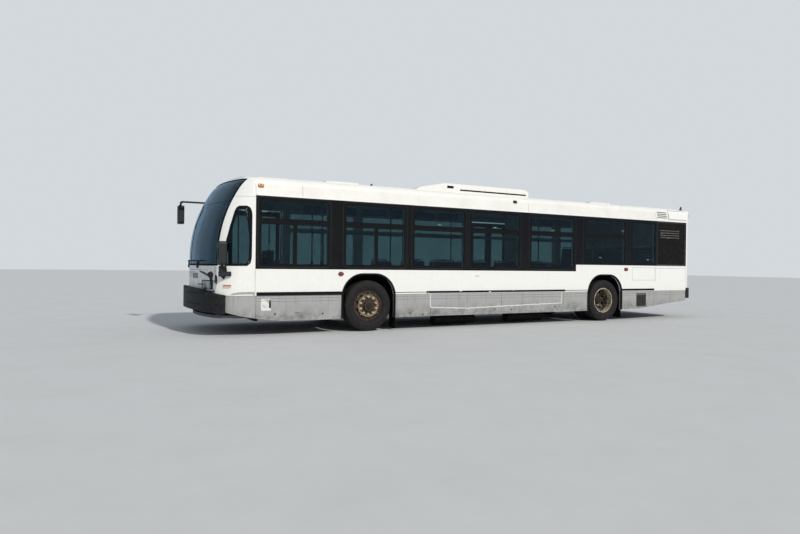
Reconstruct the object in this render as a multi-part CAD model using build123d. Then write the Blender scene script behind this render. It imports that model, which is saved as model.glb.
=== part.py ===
from build123d import *
import math
import os

# City bus, 12.5 m long, low floor, two axles: a body shell of separate panels round a hollow cabin,
# with steered front wheels, twin rear wheels, four door leaves, an engine door and two roof hatches.
# Millimetres. X is forward, Y is to the left, Z is up; the origin is on the ground under the middle of the bus.

os.makedirs("parts", exist_ok=True)

# Overall body
WHEELBASE = 6200
FRONT_AXLE = WHEELBASE / 2
REAR_AXLE = -WHEELBASE / 2
HALF_WIDTH = 1295
WALL = 70                    # thickness of every wall, roof and door surround
GLASS = 8
SEAT_GAP = 0.3               # what a fitted piece leaves round itself

# Front end in plan: a wide bow, then a corner of smaller radius on each side
NOSE_X = 6160
NOSE_RADIUS = 3200
CORNER_RADIUS = 490
FRONT_SEAM_X = 5290          # where the side panels meet the front corner panels
# Front end in side view: upright, then two arcs that lean back to the roof
LEAN_START_Z = 1350
LEAN_RADIUS = 2359
LEAN_ANGLE = 32
BROW_TOP_Z = 2900
PILLAR_Y = 1140              # side edge of the windscreen and of the sign glass
SCREEN_BOTTOM_Z = 1240
SIGN_BOTTOM_Z = 2345
FASCIA_BOTTOM_Z = 570

# Rear end
REAR_X = -6160
REAR_SEAM_X = -5980
REAR_CORNER_RADIUS = 180

# Heights on the sides
SKIRT_BOTTOM_Z = 257
SKIRT_TOP_Z = 709
BAND_TOP_Z = 2465

# Roof section
CROWN_Z = 2890
CROWN_RADIUS = 7200
COVE_LEAN_Y = 1262           # the cove panel leans in to this at COVE_LEAN_Z
COVE_LEAN_Z = 2680
ROOF_CORNER_RADIUS = 150

# Floor
FLOOR_Z = 370
FLOOR_THICKNESS = 50
PLATFORM_Z = 800
PLATFORM_X = REAR_AXLE + 900    # front edge of the raised floor
BULKHEAD_X = -4850
BULKHEAD_THICKNESS = 40
STEP_DEPTH = 300

# Wheels and arches
TYRE_RADIUS = 490
TYRE_WIDTH = 305
WHEEL_Z = TYRE_RADIUS
OUTER_TYRE_Y = 1113          # centre plane of the front tyre and of the outer rear one
TWIN_SPACING = 343
RIM_RADIUS = 286
FLANGE_RADIUS = 297
HUB_RADIUS = 105
HAND_HOLES = 10
ARCH_HALF_WIDTH = 545
ARCH_TOP_Z = 1090
ARCH_CORNER_RADIUS = 420
HOUSING_HALF_LENGTH = 600    # inside of a wheel housing
HOUSING_TOP_Z = 1130
HOUSING_RADIUS = 450
HOUSING_INNER_Y = 540
HOUSING_SHEET = 25

# Steering
KINGPIN_Y = 1000
KINGPIN_RADIUS = 22
SPINDLE_RADIUS = 42
STEER_ARM_X = -220           # ball joint of the tie rod, from the kingpin
STEER_ARM_Y = -90
TIE_ROD_Z = 225
BEAM_BOTTOM_Z = 155
BEAM_TOP_Z = 255

# Door openings on the right side: rear jamb, front jamb
FRONT_DOOR = (4060, FRONT_SEAM_X)
REAR_DOOR = (-2130, -890)
DOOR_HEADER_Z = 2430
LEAF_THICKNESS = 40
LEAF_Y = -1260               # middle of the leaf and of its wall
LEAF_BOTTOM_Z = 400
LEAF_TOP_Z = 2400
POST_RADIUS = 18
POST_INSET = 28              # post centre from the jamb
LEAF_INSET = 30              # leaf edge from the post centre
ARM_LENGTH = 290
ARM_HEIGHT = 15
PIVOT_RADIUS = 8


def box(x0, x1, y0, y1, z0, z1):
    """Box between two values on each axis."""
    size = (abs(x1 - x0), abs(y1 - y0), abs(z1 - z0))
    return Pos((x0 + x1) / 2, (y0 + y1) / 2, (z0 + z1) / 2) * Box(*size)


def both_sides(shape):
    """The shape and its mirror image in the middle plane of the bus."""
    return [shape, mirror(shape, about=Plane.XZ)]


def side_prism(points, y0, y1):
    """A closed outline of (x, z) points in side view, as thick as from y0 to y1."""
    face = make_face(Plane.XZ * Polyline(*points, close=True))
    return Pos(0, max(y0, y1), 0) * extrude(face, amount=abs(y1 - y0), dir=(0, -1, 0))


def front_prism(points, x0, x1):
    """A closed outline of (y, z) points seen along the bus, carried from x0 to x1."""
    face = make_face(Plane.YZ * Polyline(*points, close=True))
    return Pos(min(x0, x1), 0, 0) * extrude(face, amount=abs(x1 - x0), dir=(1, 0, 0))


def rounded_window(x0, x1, z0, z1, radius, y0, y1):
    """A window-shaped block: a rectangle in side view with rounded corners."""
    sketch = Plane.XZ * RectangleRounded(abs(x1 - x0), abs(z1 - z0), radius)
    return Pos((x0 + x1) / 2, max(y0, y1), (z0 + z1) / 2) * extrude(sketch, amount=abs(y1 - y0))


def y_cylinder(radius, y0, y1, x=0, z=0):
    """Cylinder along Y."""
    return Pos(x, (y0 + y1) / 2, z) * Rot(90, 0, 0) * Cylinder(radius, abs(y1 - y0))


def x_cylinder(radius, x0, x1, y=0, z=0):
    """Cylinder along X."""
    return Pos((x0 + x1) / 2, y, z) * Rot(0, 90, 0) * Cylinder(radius, abs(x1 - x0))


def z_cylinder(radius, z0, z1, x=0, y=0):
    """Cylinder along Z."""
    return Pos(x, y, (z0 + z1) / 2) * Cylinder(radius, abs(z1 - z0))


def save(name, *shapes):
    """Writes the solids of the shapes as one node."""
    solids = [s for shape in shapes for s in shape.solids()]
    export_step(Compound(children=solids), f"parts/{name}.step")


def plan_face(back, nose, half, nose_radius, corner_radius):
    """The body seen from above: straight sides from x = back, a corner arc on each side, and the nose's bow."""
    bow_x = nose - nose_radius
    corner_y = half - corner_radius
    corner_x = bow_x + math.sqrt((nose_radius - corner_radius) ** 2 - corner_y ** 2)
    turn = math.atan2(corner_y, corner_x - bow_x)
    join = (bow_x + nose_radius * math.cos(turn), nose_radius * math.sin(turn))
    middle = (turn + math.pi / 2) / 2
    bulge = (corner_x + corner_radius * math.cos(middle), corner_y + corner_radius * math.sin(middle))
    outline = [
        Line((back, -half), (corner_x, -half)),
        ThreePointArc((corner_x, -half), (bulge[0], -bulge[1]), (join[0], -join[1])),
        ThreePointArc((join[0], -join[1]), (nose, 0), join),
        ThreePointArc(join, bulge, (corner_x, half)),
        Line((corner_x, half), (back, half)),
        Line((back, half), (back, -half)),
    ]
    return make_face(Wire(outline))


def body_plan(inset, shift):
    """The body's plan, drawn in by a wall thickness and moved back where the front leans."""
    return Pos(-shift, 0, 0) * plan_face(4500 + shift, NOSE_X - inset, HALF_WIDTH - inset,
                                         NOSE_RADIUS - inset, CORNER_RADIUS - inset)


def roof_section(inset, bottom):
    """The body seen from the front, as a face: upright sides, cove panels, corners and crown."""
    crown_y = COVE_LEAN_Y - ROOF_CORNER_RADIUS * 0.829
    crown_z = CROWN_Z - CROWN_RADIUS + math.sqrt(CROWN_RADIUS ** 2 - crown_y ** 2)
    half = [(HALF_WIDTH, bottom), (HALF_WIDTH, BAND_TOP_Z), (COVE_LEAN_Y, COVE_LEAN_Z)]
    bend_z = COVE_LEAN_Z + (crown_z - COVE_LEAN_Z) * 0.62
    bend_y = crown_y + (COVE_LEAN_Y - crown_y) * 0.71
    edges = []
    for side in (1, -1):
        edges.append(Line(*[(side * y, z) for y, z in half[0:2]]))
        edges.append(Line(*[(side * y, z) for y, z in half[1:3]]))
        edges.append(ThreePointArc((side * COVE_LEAN_Y, COVE_LEAN_Z), (side * bend_y, bend_z),
                                   (side * crown_y, crown_z)))
    edges.append(ThreePointArc((crown_y, crown_z), (0, CROWN_Z), (-crown_y, crown_z)))
    edges.append(Line((HALF_WIDTH, bottom), (-HALF_WIDTH, bottom)))
    face = make_face(Wire(edges))
    if inset:
        face = offset(face, amount=-inset, kind=Kind.INTERSECTION)
    return Plane.YZ * face


def roof_prism(inset, x0, x1, bottom):
    """The body's cross-section carried along X."""
    return Pos(x0, 0, 0) * extrude(roof_section(inset, bottom), amount=x1 - x0)


def front_block(inset):
    """The solid that the front of the body fills, walls drawn in by inset."""
    lean = [math.radians(a) for a in (0, 8, 16, 24, LEAN_ANGLE)]
    lean_levels = [(LEAN_RADIUS * (1 - math.cos(a)), LEAN_START_Z + LEAN_RADIUS * math.sin(a)) for a in lean]
    brow_radius = (BROW_TOP_Z - lean_levels[-1][1]) / (1 - math.sin(lean[-1]))
    brow = [math.radians(a) for a in (LEAN_ANGLE, 45, 58, 72, 86)]
    brow_levels = [(lean_levels[-1][0] + brow_radius * (math.cos(lean[-1]) - math.cos(a)),
                    lean_levels[-1][1] + brow_radius * (math.sin(a) - math.sin(lean[-1]))) for a in brow]
    upright = extrude(body_plan(inset, 0), amount=LEAN_START_Z)
    leaning = loft([Pos(0, 0, z) * body_plan(inset, d) for d, z in lean_levels])
    browed = loft([Pos(0, 0, z) * body_plan(inset, d) for d, z in brow_levels])
    return (upright + leaning + browed) & roof_prism(inset, 4950, 6400, -inset - 10)


def arch(x, half, top, radius, y0, y1):
    """A wheel arch as a solid: flat on top with two large corners, open downward."""
    return rounded_window(x - half, x + half, -top, top, radius, y0, y1)


def revolved(profile, x=0, y=0, z=0):
    """A body of revolution about a line along Y; the profile holds (distance along the axis, radius)."""
    face = make_face(Polyline(*[(r, a) for a, r in profile], close=True))
    return Pos(x, y, z) * revolve(face, axis=Axis.Y)


def cut_all(shape, tools):
    """The shape less every tool."""
    for tool in tools:
        shape = shape - tool
    return shape


def join(*shapes):
    """The shapes as one solid."""
    whole = shapes[0]
    for shape in shapes[1:]:
        whole = whole + shape
    return whole


# Wheel arches cut through the outer panels on both sides
arch_cutters = [arch(x, ARCH_HALF_WIDTH, ARCH_TOP_Z, ARCH_CORNER_RADIUS, -1500, 1500)
                for x in (FRONT_AXLE, REAR_AXLE)]
door_cutters = [box(x0, x1, -1500, -HALF_WIDTH + WALL + 60, FLOOR_Z - FLOOR_THICKNESS, DOOR_HEADER_Z)
                for x0, x1 in (FRONT_DOOR, REAR_DOOR)]

# Side windows: front edge, rear edge, bottom, with a transom or not, divider of the lower pane
TRANSOM_Z = (1985, 2060)
WINDOW_TOP_Z = 2400
WINDOW_RADIUS = 40
DIVIDER_HALF = 18
LOW_SILL_Z = 1255
HIGH_SILL_Z = 1383
LEFT_WINDOWS = [
    (5200, 3940, LOW_SILL_Z, True, 4570),
    (3600, 2338, LOW_SILL_Z, True, 2955),
    (2136, 937, LOW_SILL_Z, True, None),
    (775, -489, LOW_SILL_Z, True, None),
    (-823, -2089, LOW_SILL_Z, True, None),
    (-2431, -3743, HIGH_SILL_Z, True, None),
    (-3985, -4805, HIGH_SILL_Z, False, None),
]
RIGHT_WINDOWS = [
    (3900, 2338, LOW_SILL_Z, True, 3120),
    (2136, 937, LOW_SILL_Z, True, None),
    (775, -720, LOW_SILL_Z, True, None),
    (-2431, -3743, HIGH_SILL_Z, True, None),
    (-3985, -4805, HIGH_SILL_Z, False, None),
]
GLASS_INSET = 2
GLASS_LEDGE = 12


def panes(windows):
    """The panes of a row of windows: x from, x to, z from, z to."""
    rows = []
    for front, rear, bottom, transom, divider in windows:
        top = TRANSOM_Z[0] if transom else WINDOW_TOP_Z
        if divider:
            rows.append((rear, divider - DIVIDER_HALF, bottom, top))
            rows.append((divider + DIVIDER_HALF, front, bottom, top))
        else:
            rows.append((rear, front, bottom, top))
        if transom:
            rows.append((rear, front, TRANSOM_Z[1], WINDOW_TOP_Z))
    return rows


def glazing_cuts(windows):
    """Pocket for each pane and the opening behind it, on the left side."""
    pocket_y = HALF_WIDTH - GLASS_INSET - GLASS
    cuts = []
    for x0, x1, z0, z1 in panes(windows):
        cuts.append(rounded_window(x0, x1, z0, z1, WINDOW_RADIUS, pocket_y, HALF_WIDTH + 10))
        cuts.append(rounded_window(x0 + GLASS_LEDGE, x1 - GLASS_LEDGE, z0 + GLASS_LEDGE, z1 - GLASS_LEDGE,
                                   WINDOW_RADIUS - GLASS_LEDGE, HALF_WIDTH - WALL - 10, HALF_WIDTH))
    return cuts


def glazing(windows):
    """The panes themselves, on the left side."""
    pocket_y = HALF_WIDTH - GLASS_INSET - GLASS
    gap = SEAT_GAP
    return [rounded_window(x0 + gap, x1 - gap, z0 + gap, z1 - gap, WINDOW_RADIUS - gap, pocket_y,
                           pocket_y + GLASS)
            for x0, x1, z0, z1 in panes(windows)]


# Side walls, from the skirt to the roof
GRILLE = (-5940, -4878, 1350, 2450)      # x from, x to, z from, z to
GRILLE_THICKNESS = 14
wall_blank = box(REAR_SEAM_X, FRONT_SEAM_X, HALF_WIDTH - WALL, HALF_WIDTH, SKIRT_TOP_Z, BAND_TOP_Z)
grille_pocket = box(GRILLE[0], GRILLE[1], HALF_WIDTH - GRILLE_THICKNESS, HALF_WIDTH + 10, GRILLE[2], GRILLE[3])
grille_duct = box(GRILLE[0] + 80, GRILLE[1] - 80, 1100, HALF_WIDTH, GRILLE[2] + 80, GRILLE[3] - 80)
left_wall = cut_all(wall_blank, arch_cutters + glazing_cuts(LEFT_WINDOWS) + [grille_pocket, grille_duct])
save("side_wall_left", left_wall)
right_wall = mirror(cut_all(wall_blank, arch_cutters + glazing_cuts(RIGHT_WINDOWS)), about=Plane.XZ)
right_wall = cut_all(right_wall, door_cutters)
save("side_wall_right", right_wall)
side_panes = glazing(LEFT_WINDOWS) + [mirror(p, about=Plane.XZ) for p in glazing(RIGHT_WINDOWS)]

# Radiator grille: a panel in the left wall with louvres, each a slot and a blade that leans out over it
LOUVRES = 4
LOUVRE_X = (-5707, -4980)
LOUVRE_Z = 2040
LOUVRE_PITCH = 58
LOUVRE_HEIGHT = 34
BLADE_THICKNESS = 5
BLADE_REACH = 9
BLADE_SEAT = 3               # how far a blade runs into the panel round its slot
PANEL_SPLIT_Z = 1863
SPLIT_WIDTH = 6
grille_face = HALF_WIDTH - GRILLE_THICKNESS
grille = box(GRILLE[0] + SEAT_GAP, GRILLE[1] - SEAT_GAP, grille_face, HALF_WIDTH,
             GRILLE[2] + SEAT_GAP, GRILLE[3] - SEAT_GAP)
grille = grille - box(GRILLE[0], GRILLE[1], HALF_WIDTH - SPLIT_WIDTH, HALF_WIDTH + 1, PANEL_SPLIT_Z,
                      PANEL_SPLIT_Z + SPLIT_WIDTH)
for i in range(LOUVRES):
    z = LOUVRE_Z + i * LOUVRE_PITCH
    top = z + LOUVRE_HEIGHT
    grille = grille - box(LOUVRE_X[0], LOUVRE_X[1], grille_face - 1, HALF_WIDTH + 1, z, top)
    blade = front_prism([(grille_face, top + BLADE_SEAT), (grille_face, top - BLADE_THICKNESS),
                         (HALF_WIDTH + BLADE_REACH, z + BLADE_THICKNESS),
                         (HALF_WIDTH + BLADE_REACH, z + 2 * BLADE_THICKNESS)],
                        LOUVRE_X[0] - BLADE_SEAT, LOUVRE_X[1] + BLADE_SEAT)
    grille = grille + blade

# Roof with cove panels, two hatch curbs; each lid has a hinge along its front edge
HATCHES = (3300, -3850)
HATCH_CURB = 700
HATCH_HOLE = 600
CURB_TOP_Z = 2920
LID_HALF = 360
LID_GAP = 0.5
LID_HEIGHT = 36
LID_CHAMFER = 18
BARREL_RADIUS = 8
BARREL_LENGTH = 80
BARREL_GAP = 0.5
barrel_x = LID_HALF + 3
barrel_z = CURB_TOP_Z + LID_GAP


def barrels(x, y0, y1):
    """Hinge barrels on both halves of a lid's front edge."""
    return [y_cylinder(BARREL_RADIUS, side * y0, side * y1, x + barrel_x, barrel_z) for side in (1, -1)]


roof = roof_prism(0, REAR_SEAM_X, FRONT_SEAM_X, 2000)
roof = roof - roof_prism(WALL, REAR_SEAM_X - 5, FRONT_SEAM_X + 5, 1900)
roof = roof & box(REAR_SEAM_X, FRONT_SEAM_X, -1400, 1400, BAND_TOP_Z, 3000)
for name, x in zip(("hatch_front", "hatch_rear"), HATCHES):
    half = HATCH_CURB / 2
    hole = HATCH_HOLE / 2
    inner_end = 150
    outer_end = inner_end + BARREL_LENGTH
    curb = box(x - half, x + half, -half, half, CROWN_Z - WALL + 20, CURB_TOP_Z)
    ears = [box(x + half - 10, x + barrel_x, side * (outer_end + BARREL_GAP),
                side * (outer_end + BARREL_GAP + BARREL_LENGTH), barrel_z - BARREL_RADIUS, barrel_z - 2)
            for side in (1, -1)]
    lid = box(x - LID_HALF, x + LID_HALF, -LID_HALF, LID_HALF, CURB_TOP_Z + LID_GAP, CURB_TOP_Z + LID_HEIGHT)
    lid = chamfer(lid.edges().group_by(Axis.Z)[-1], LID_CHAMFER)
    room_end = outer_end + BARREL_LENGTH + 5
    room = y_cylinder(BARREL_RADIUS + 2, -room_end, room_end, x + barrel_x, barrel_z)
    tabs = [box(x + LID_HALF - 30, x + barrel_x, side * inner_end, side * outer_end, barrel_z,
                barrel_z + BARREL_RADIUS) for side in (1, -1)]
    lid = join(lid - room, *tabs, *barrels(x, inner_end, outer_end))
    curb = join(curb, *ears, *barrels(x, outer_end + BARREL_GAP, outer_end + BARREL_GAP + BARREL_LENGTH))
    curb = cut_all(curb, [y_cylinder(BARREL_RADIUS + 2, side * (inner_end - 1), side * (outer_end + BARREL_GAP),
                                     x + barrel_x, barrel_z) for side in (1, -1)])
    roof = roof + curb - box(x - hole, x + hole, -hole, hole, 2600, CURB_TOP_Z + 50)
    save(name, lid)
save("roof", roof)

# Long pod on the roof
POD = [(-1220, 2800), (-1220, 3005), (-1150, 3065), (1020, 3065), (1680, 2930), (1900, 2800)]
POD_HALF_WIDTH = 700
pod = side_prism(POD, -POD_HALF_WIDTH, POD_HALF_WIDTH)
pod = chamfer(pod.edges().filter_by(Axis.X).group_by(Axis.Z)[-1], 60)
save("roof_pod", pod - roof_prism(0, -1500, 2500, 1000))

# Front of the body: corner panels, cap over the sign glass, fascia, glass
outer = front_block(0)
inner = front_block(WALL)
glass_back = front_block(GLASS)
ahead = box(FRONT_SEAM_X, 6400, -1400, 1400, FASCIA_BOTTOM_Z, 3000)
shell = (outer - inner) & ahead
skin = outer - glass_back
CAP_SEAM_Z = 2440
SIGN_TOP_Z = 2760
PANEL_GAP = 4
LIP = 26
screen_zone = box(5400, 6400, -PILLAR_Y, PILLAR_Y, SCREEN_BOTTOM_Z, SIGN_BOTTOM_Z)
sign_zone = box(5400, 6400, -PILLAR_Y, PILLAR_Y, SIGN_BOTTOM_Z, SIGN_TOP_Z)
screen_hole = box(5300, 6400, -PILLAR_Y + LIP, PILLAR_Y - LIP, SCREEN_BOTTOM_Z + LIP, SIGN_BOTTOM_Z - LIP)
sign_hole = box(5400, 6400, -PILLAR_Y + LIP, PILLAR_Y - LIP, SIGN_BOTTOM_Z + LIP, SIGN_TOP_Z - LIP)
DRIVER_WINDOW = [(5365, 1682), (5368, 1370), (5433, 1248), (5789, 1244), (5799, 1363), (5760, 1671),
                 (5696, 1929), (5631, 2155), (5564, 2253), (5444, 2259)]
driver_zone = side_prism(DRIVER_WINDOW, 900, 1400)
driver_hole = offset(make_face(Plane.XZ * Polyline(*DRIVER_WINDOW, close=True)), amount=-LIP / 2)
driver_hole = Pos(0, 1400, 0) * extrude(driver_hole, amount=500, dir=(0, -1, 0))
framed = shell - (skin & (screen_zone + sign_zone + driver_zone)) - screen_hole - sign_hole - driver_hole
save("front_cap", framed & box(5000, 6400, -1400, 1400, CAP_SEAM_Z, 3000))
corner_zone = box(5000, 6400, PILLAR_Y - LIP, 1400, SKIRT_TOP_Z + PANEL_GAP, CAP_SEAM_Z - PANEL_GAP)
corner_left = framed & corner_zone
corner_right = framed & mirror(corner_zone, about=Plane.XZ)
save("front_corners", corner_left, corner_right)
HEADLAMP = (720, 1090, 790, 960)         # y from, y to, z from, z to on the left side
fascia_zone = box(5000, 6400, -PILLAR_Y + LIP + PANEL_GAP, PILLAR_Y - LIP - PANEL_GAP, FASCIA_BOTTOM_Z,
                  SCREEN_BOTTOM_Z + LIP)
fascia = framed & fascia_zone
lamp_holes = both_sides(box(5500, 6400, HEADLAMP[0], HEADLAMP[1], HEADLAMP[2], HEADLAMP[3]))
save("front_fascia", cut_all(fascia, lamp_holes))
gap = SEAT_GAP
lamp_zone = box(5500, 6400, HEADLAMP[0] + gap, HEADLAMP[1] - gap, HEADLAMP[2] + gap, HEADLAMP[3] - gap)
lamp_left = (outer - inner) & lamp_zone
save("headlamps", lamp_left, mirror(lamp_left, about=Plane.XZ))
windscreen = skin & box(5400, 6400, -PILLAR_Y + gap, PILLAR_Y - gap, SCREEN_BOTTOM_Z + gap, SIGN_BOTTOM_Z - 3)
sign_glass = skin & box(5400, 6400, -PILLAR_Y + gap, PILLAR_Y - gap, SIGN_BOTTOM_Z + 3, SIGN_TOP_Z - gap)
save("front_glass", windscreen, sign_glass)
save("side_glass", skin & driver_zone, *side_panes)

# Rear of the body
REAR_TOP_RADIUS = 140
REAR_CAP_BOTTOM_Z = 770


def rear_block(inset):
    """The solid that the rear of the body fills, walls drawn in by inset."""
    x0 = REAR_X + inset
    half = HALF_WIDTH - inset
    plan = Pos(x0 + 600, 0) * RectangleRounded(1200, 2 * half, REAR_CORNER_RADIUS - inset)
    top = CROWN_Z + 20 - inset
    side = rounded_window(x0, x0 + 1200, -top, top, REAR_TOP_RADIUS - inset, -1400, 1400)
    return extrude(plan, amount=3000) & side & roof_prism(inset, x0 - 20, x0 + 1000, 100)


ENGINE_DOOR = (980, 800, 1560)           # half width, bottom, top
REAR_GRILLE = (980, 1640, 2540)
behind = box(REAR_X - 10, REAR_SEAM_X, -1400, 1400, REAR_CAP_BOTTOM_Z, 3000)
rear_cap = (rear_block(0) - rear_block(WALL)) & behind
door_hole = box(REAR_X - 20, REAR_SEAM_X, -ENGINE_DOOR[0], ENGINE_DOOR[0], ENGINE_DOOR[1], ENGINE_DOOR[2])
upper_pocket = box(REAR_X - 20, REAR_X + 20, -REAR_GRILLE[0], REAR_GRILLE[0], REAR_GRILLE[1], REAR_GRILLE[2])
upper_duct = box(REAR_X - 20, REAR_SEAM_X, -REAR_GRILLE[0] + 60, REAR_GRILLE[0] - 60, REAR_GRILLE[1] + 60,
                 REAR_GRILLE[2] - 60)
LAMP_Y = 1120
LAMP_HEIGHTS = (900, 1030, 1160, 1290)
LAMP_RADIUS = 52
lamp_pockets = [x_cylinder(LAMP_RADIUS + SEAT_GAP, REAR_X - 30, REAR_X + 25, side * LAMP_Y, z)
                for side in (1, -1) for z in LAMP_HEIGHTS]
rear_cap = cut_all(rear_cap, [door_hole, upper_pocket, upper_duct] + lamp_pockets)
tail = [x_cylinder(LAMP_RADIUS, REAR_X - 8, REAR_X + 25, side * LAMP_Y, z)
        for side in (1, -1) for z in LAMP_HEIGHTS]
save("tail_lamps", *tail)
rear_grille = box(REAR_X, REAR_X + 20, -REAR_GRILLE[0] + gap, REAR_GRILLE[0] - gap, REAR_GRILLE[1] + gap,
                  REAR_GRILLE[2] - gap)
rear_slots = [box(REAR_X - 10, REAR_X + 40, -820, 820, 1740 + i * 70, 1740 + i * 70 + 35) for i in range(10)]
save("grilles", grille, cut_all(rear_grille, rear_slots))
DOOR_EDGE_GAP = 6
engine_door = box(REAR_X, REAR_X + 40, -ENGINE_DOOR[0] + DOOR_EDGE_GAP, ENGINE_DOOR[0] - DOOR_EDGE_GAP,
                  ENGINE_DOOR[1] + DOOR_EDGE_GAP, ENGINE_DOOR[2] - DOOR_EDGE_GAP)
door_slots = [box(REAR_X - 10, REAR_X + 50, side * 180, side * 820, 1150 + i * 60, 1150 + i * 60 + 30)
              for side in (1, -1) for i in range(5)]
engine_door = cut_all(engine_door, door_slots)
# Hinges at the door's top edge: middle knuckle on the door, outer knuckles on the cap
HINGE_RADIUS = 9
HINGE_LENGTH = 60
HINGE_ROOM = 1.5
hinge_x = REAR_X - 6
hinge_z = ENGINE_DOOR[2] - 3
for y in (-600, 600):
    y0 = y - HINGE_LENGTH / 2
    y1 = y + HINGE_LENGTH / 2
    gap = SEAT_GAP
    rear_cap = rear_cap - y_cylinder(HINGE_RADIUS + HINGE_ROOM, y0 - gap, y1 + gap, hinge_x, hinge_z)
    rear_cap = rear_cap + y_cylinder(HINGE_RADIUS, y0 - gap - HINGE_LENGTH, y0 - gap, hinge_x, hinge_z)
    rear_cap = rear_cap + y_cylinder(HINGE_RADIUS, y1 + gap, y1 + gap + HINGE_LENGTH, hinge_x, hinge_z)
    engine_door = engine_door - y_cylinder(HINGE_RADIUS + HINGE_ROOM, y0 - HINGE_LENGTH - 5,
                                           y1 + HINGE_LENGTH + 5, hinge_x, hinge_z)
    engine_door = engine_door + y_cylinder(HINGE_RADIUS, y0, y1, hinge_x, hinge_z)
    engine_door = engine_door + box(hinge_x, REAR_X + 20, y0, y1, hinge_z - 30, hinge_z)
save("rear_cap", rear_cap)
save("engine_door", engine_door)

# Skirts: outline in side view, front to rear along the lower edge
SKIRT_LOWER_EDGE = [(5780, 426), (5543, 362), (5266, 311), (5018, 277), (4783, SKIRT_BOTTOM_Z),
                    (-3670, SKIRT_BOTTOM_Z), (-4295, 270), (-5018, 355), (REAR_SEAM_X, 446)]
SKIRT_OUTLINE = SKIRT_LOWER_EDGE + [(REAR_SEAM_X, SKIRT_TOP_Z), (5780, SKIRT_TOP_Z)]
SKIRT_INSET = 8
inside = HALF_WIDTH - WALL
skirt_outer = join(extrude(body_plan(SKIRT_INSET, 0), amount=SKIRT_TOP_Z),
                   box(REAR_SEAM_X, 4600, -HALF_WIDTH + SKIRT_INSET, HALF_WIDTH - SKIRT_INSET, 0, SKIRT_TOP_Z))
skirt_inner = join(extrude(body_plan(WALL, 0), amount=SKIRT_TOP_Z),
                   box(REAR_SEAM_X - 10, 4600, -inside, inside, 0, SKIRT_TOP_Z))
skirt = (skirt_outer - skirt_inner) & side_prism(SKIRT_OUTLINE, -1400, 1400)
skirt = cut_all(skirt, arch_cutters + door_cutters)
save("skirts", skirt)

# Bumpers
BUMPER_NOSE_X = 6265
BUMPER_TOP_Z = 830
BUMPER_OUTLINE = [(5786, 400), (5786, 700), (6000, 700), (6140, 700), (6140, BUMPER_TOP_Z),
                  (6225, BUMPER_TOP_Z), (6300, 780), (6300, 460), (6100, 425)]
bumper_plan = plan_face(5000, BUMPER_NOSE_X, HALF_WIDTH + 2, NOSE_RADIUS + 100, CORNER_RADIUS + 60)
front_bumper = extrude(bumper_plan, amount=900) & side_prism(BUMPER_OUTLINE, -1400, 1400)
front_bumper = front_bumper - Pos(0, 0, -10) * extrude(body_plan(WALL, 0), amount=1000)
front_bumper = front_bumper - (outer & box(5000, 6400, -1400, 1400, FASCIA_BOTTOM_Z, 1000))
save("bumper_front", front_bumper)
REAR_BUMPER_REACH = 105
REAR_BUMPER_Z = (505, 765)
bumper_height = REAR_BUMPER_Z[1] - REAR_BUMPER_Z[0]
bumper_outer = RectangleRounded(1200, 2 * (HALF_WIDTH + 1), REAR_CORNER_RADIUS + 50)
bumper_inner = RectangleRounded(1200, 2 * inside, REAR_CORNER_RADIUS - 30)
rear_bumper = extrude(Pos(REAR_X - REAR_BUMPER_REACH + 600, 0) * bumper_outer, amount=bumper_height)
rear_bumper = rear_bumper - Pos(0, 0, -5) * extrude(Pos(REAR_X + 600, 0) * bumper_inner,
                                                    amount=bumper_height + 10)
rear_bumper = rear_bumper & box(-6400, REAR_SEAM_X - 5, -1400, 1400, -10, bumper_height + 40)
save("bumper_rear", Pos(0, 0, REAR_BUMPER_Z[0]) * rear_bumper)

# Wheel housings
housings = []
for x in (FRONT_AXLE, REAR_AXLE):
    sheet = HOUSING_SHEET
    shell_out = arch(x, HOUSING_HALF_LENGTH + sheet, HOUSING_TOP_Z + sheet, HOUSING_RADIUS + sheet,
                     HOUSING_INNER_Y - sheet, inside)
    cavity = arch(x, HOUSING_HALF_LENGTH, HOUSING_TOP_Z, HOUSING_RADIUS, HOUSING_INNER_Y, HALF_WIDTH)
    housing = (shell_out - cavity) & box(x - 800, x + 800, 0, 1400, FLOOR_Z - FLOOR_THICKNESS, 1300)
    if x < 0:
        housing = housing - box(x - 500, x + 500, 400, HOUSING_INNER_Y + 1, 0, PLATFORM_Z - FLOOR_THICKNESS)
    housings += both_sides(housing)
save("wheel_housings", *housings)
housing_blocks = [box(x - HOUSING_HALF_LENGTH - HOUSING_SHEET, x + HOUSING_HALF_LENGTH + HOUSING_SHEET,
                      side * (HOUSING_INNER_Y - HOUSING_SHEET), side * 1300, 0, 1400)
                  for x in (FRONT_AXLE, REAR_AXLE) for side in (1, -1)]

# Floors and bulkhead
low_floor = extrude(body_plan(WALL, 0), amount=FLOOR_THICKNESS)
low_floor = low_floor + box(PLATFORM_X, 5000, -inside, inside, 0, FLOOR_THICKNESS)
low_floor = Pos(0, 0, FLOOR_Z - FLOOR_THICKNESS) * low_floor
low_floor = cut_all(low_floor, housing_blocks)
for x0, x1 in (FRONT_DOOR, REAR_DOOR):
    low_floor = low_floor + box(x0, x1, -HALF_WIDTH, -inside + 10, FLOOR_Z - FLOOR_THICKNESS, FLOOR_Z)
save("floor", low_floor)
AISLE = 400
RISER_THICKNESS = 40
step = join(box(BULKHEAD_X, PLATFORM_X, -inside, inside, PLATFORM_Z - FLOOR_THICKNESS, PLATFORM_Z),
            box(PLATFORM_X - RISER_THICKNESS, PLATFORM_X, -inside, inside, FLOOR_Z - FLOOR_THICKNESS,
                PLATFORM_Z),
            box(PLATFORM_X, PLATFORM_X + STEP_DEPTH, -AISLE, AISLE, FLOOR_Z, (FLOOR_Z + PLATFORM_Z) / 2))
save("rear_platform", cut_all(step, housing_blocks))
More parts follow.
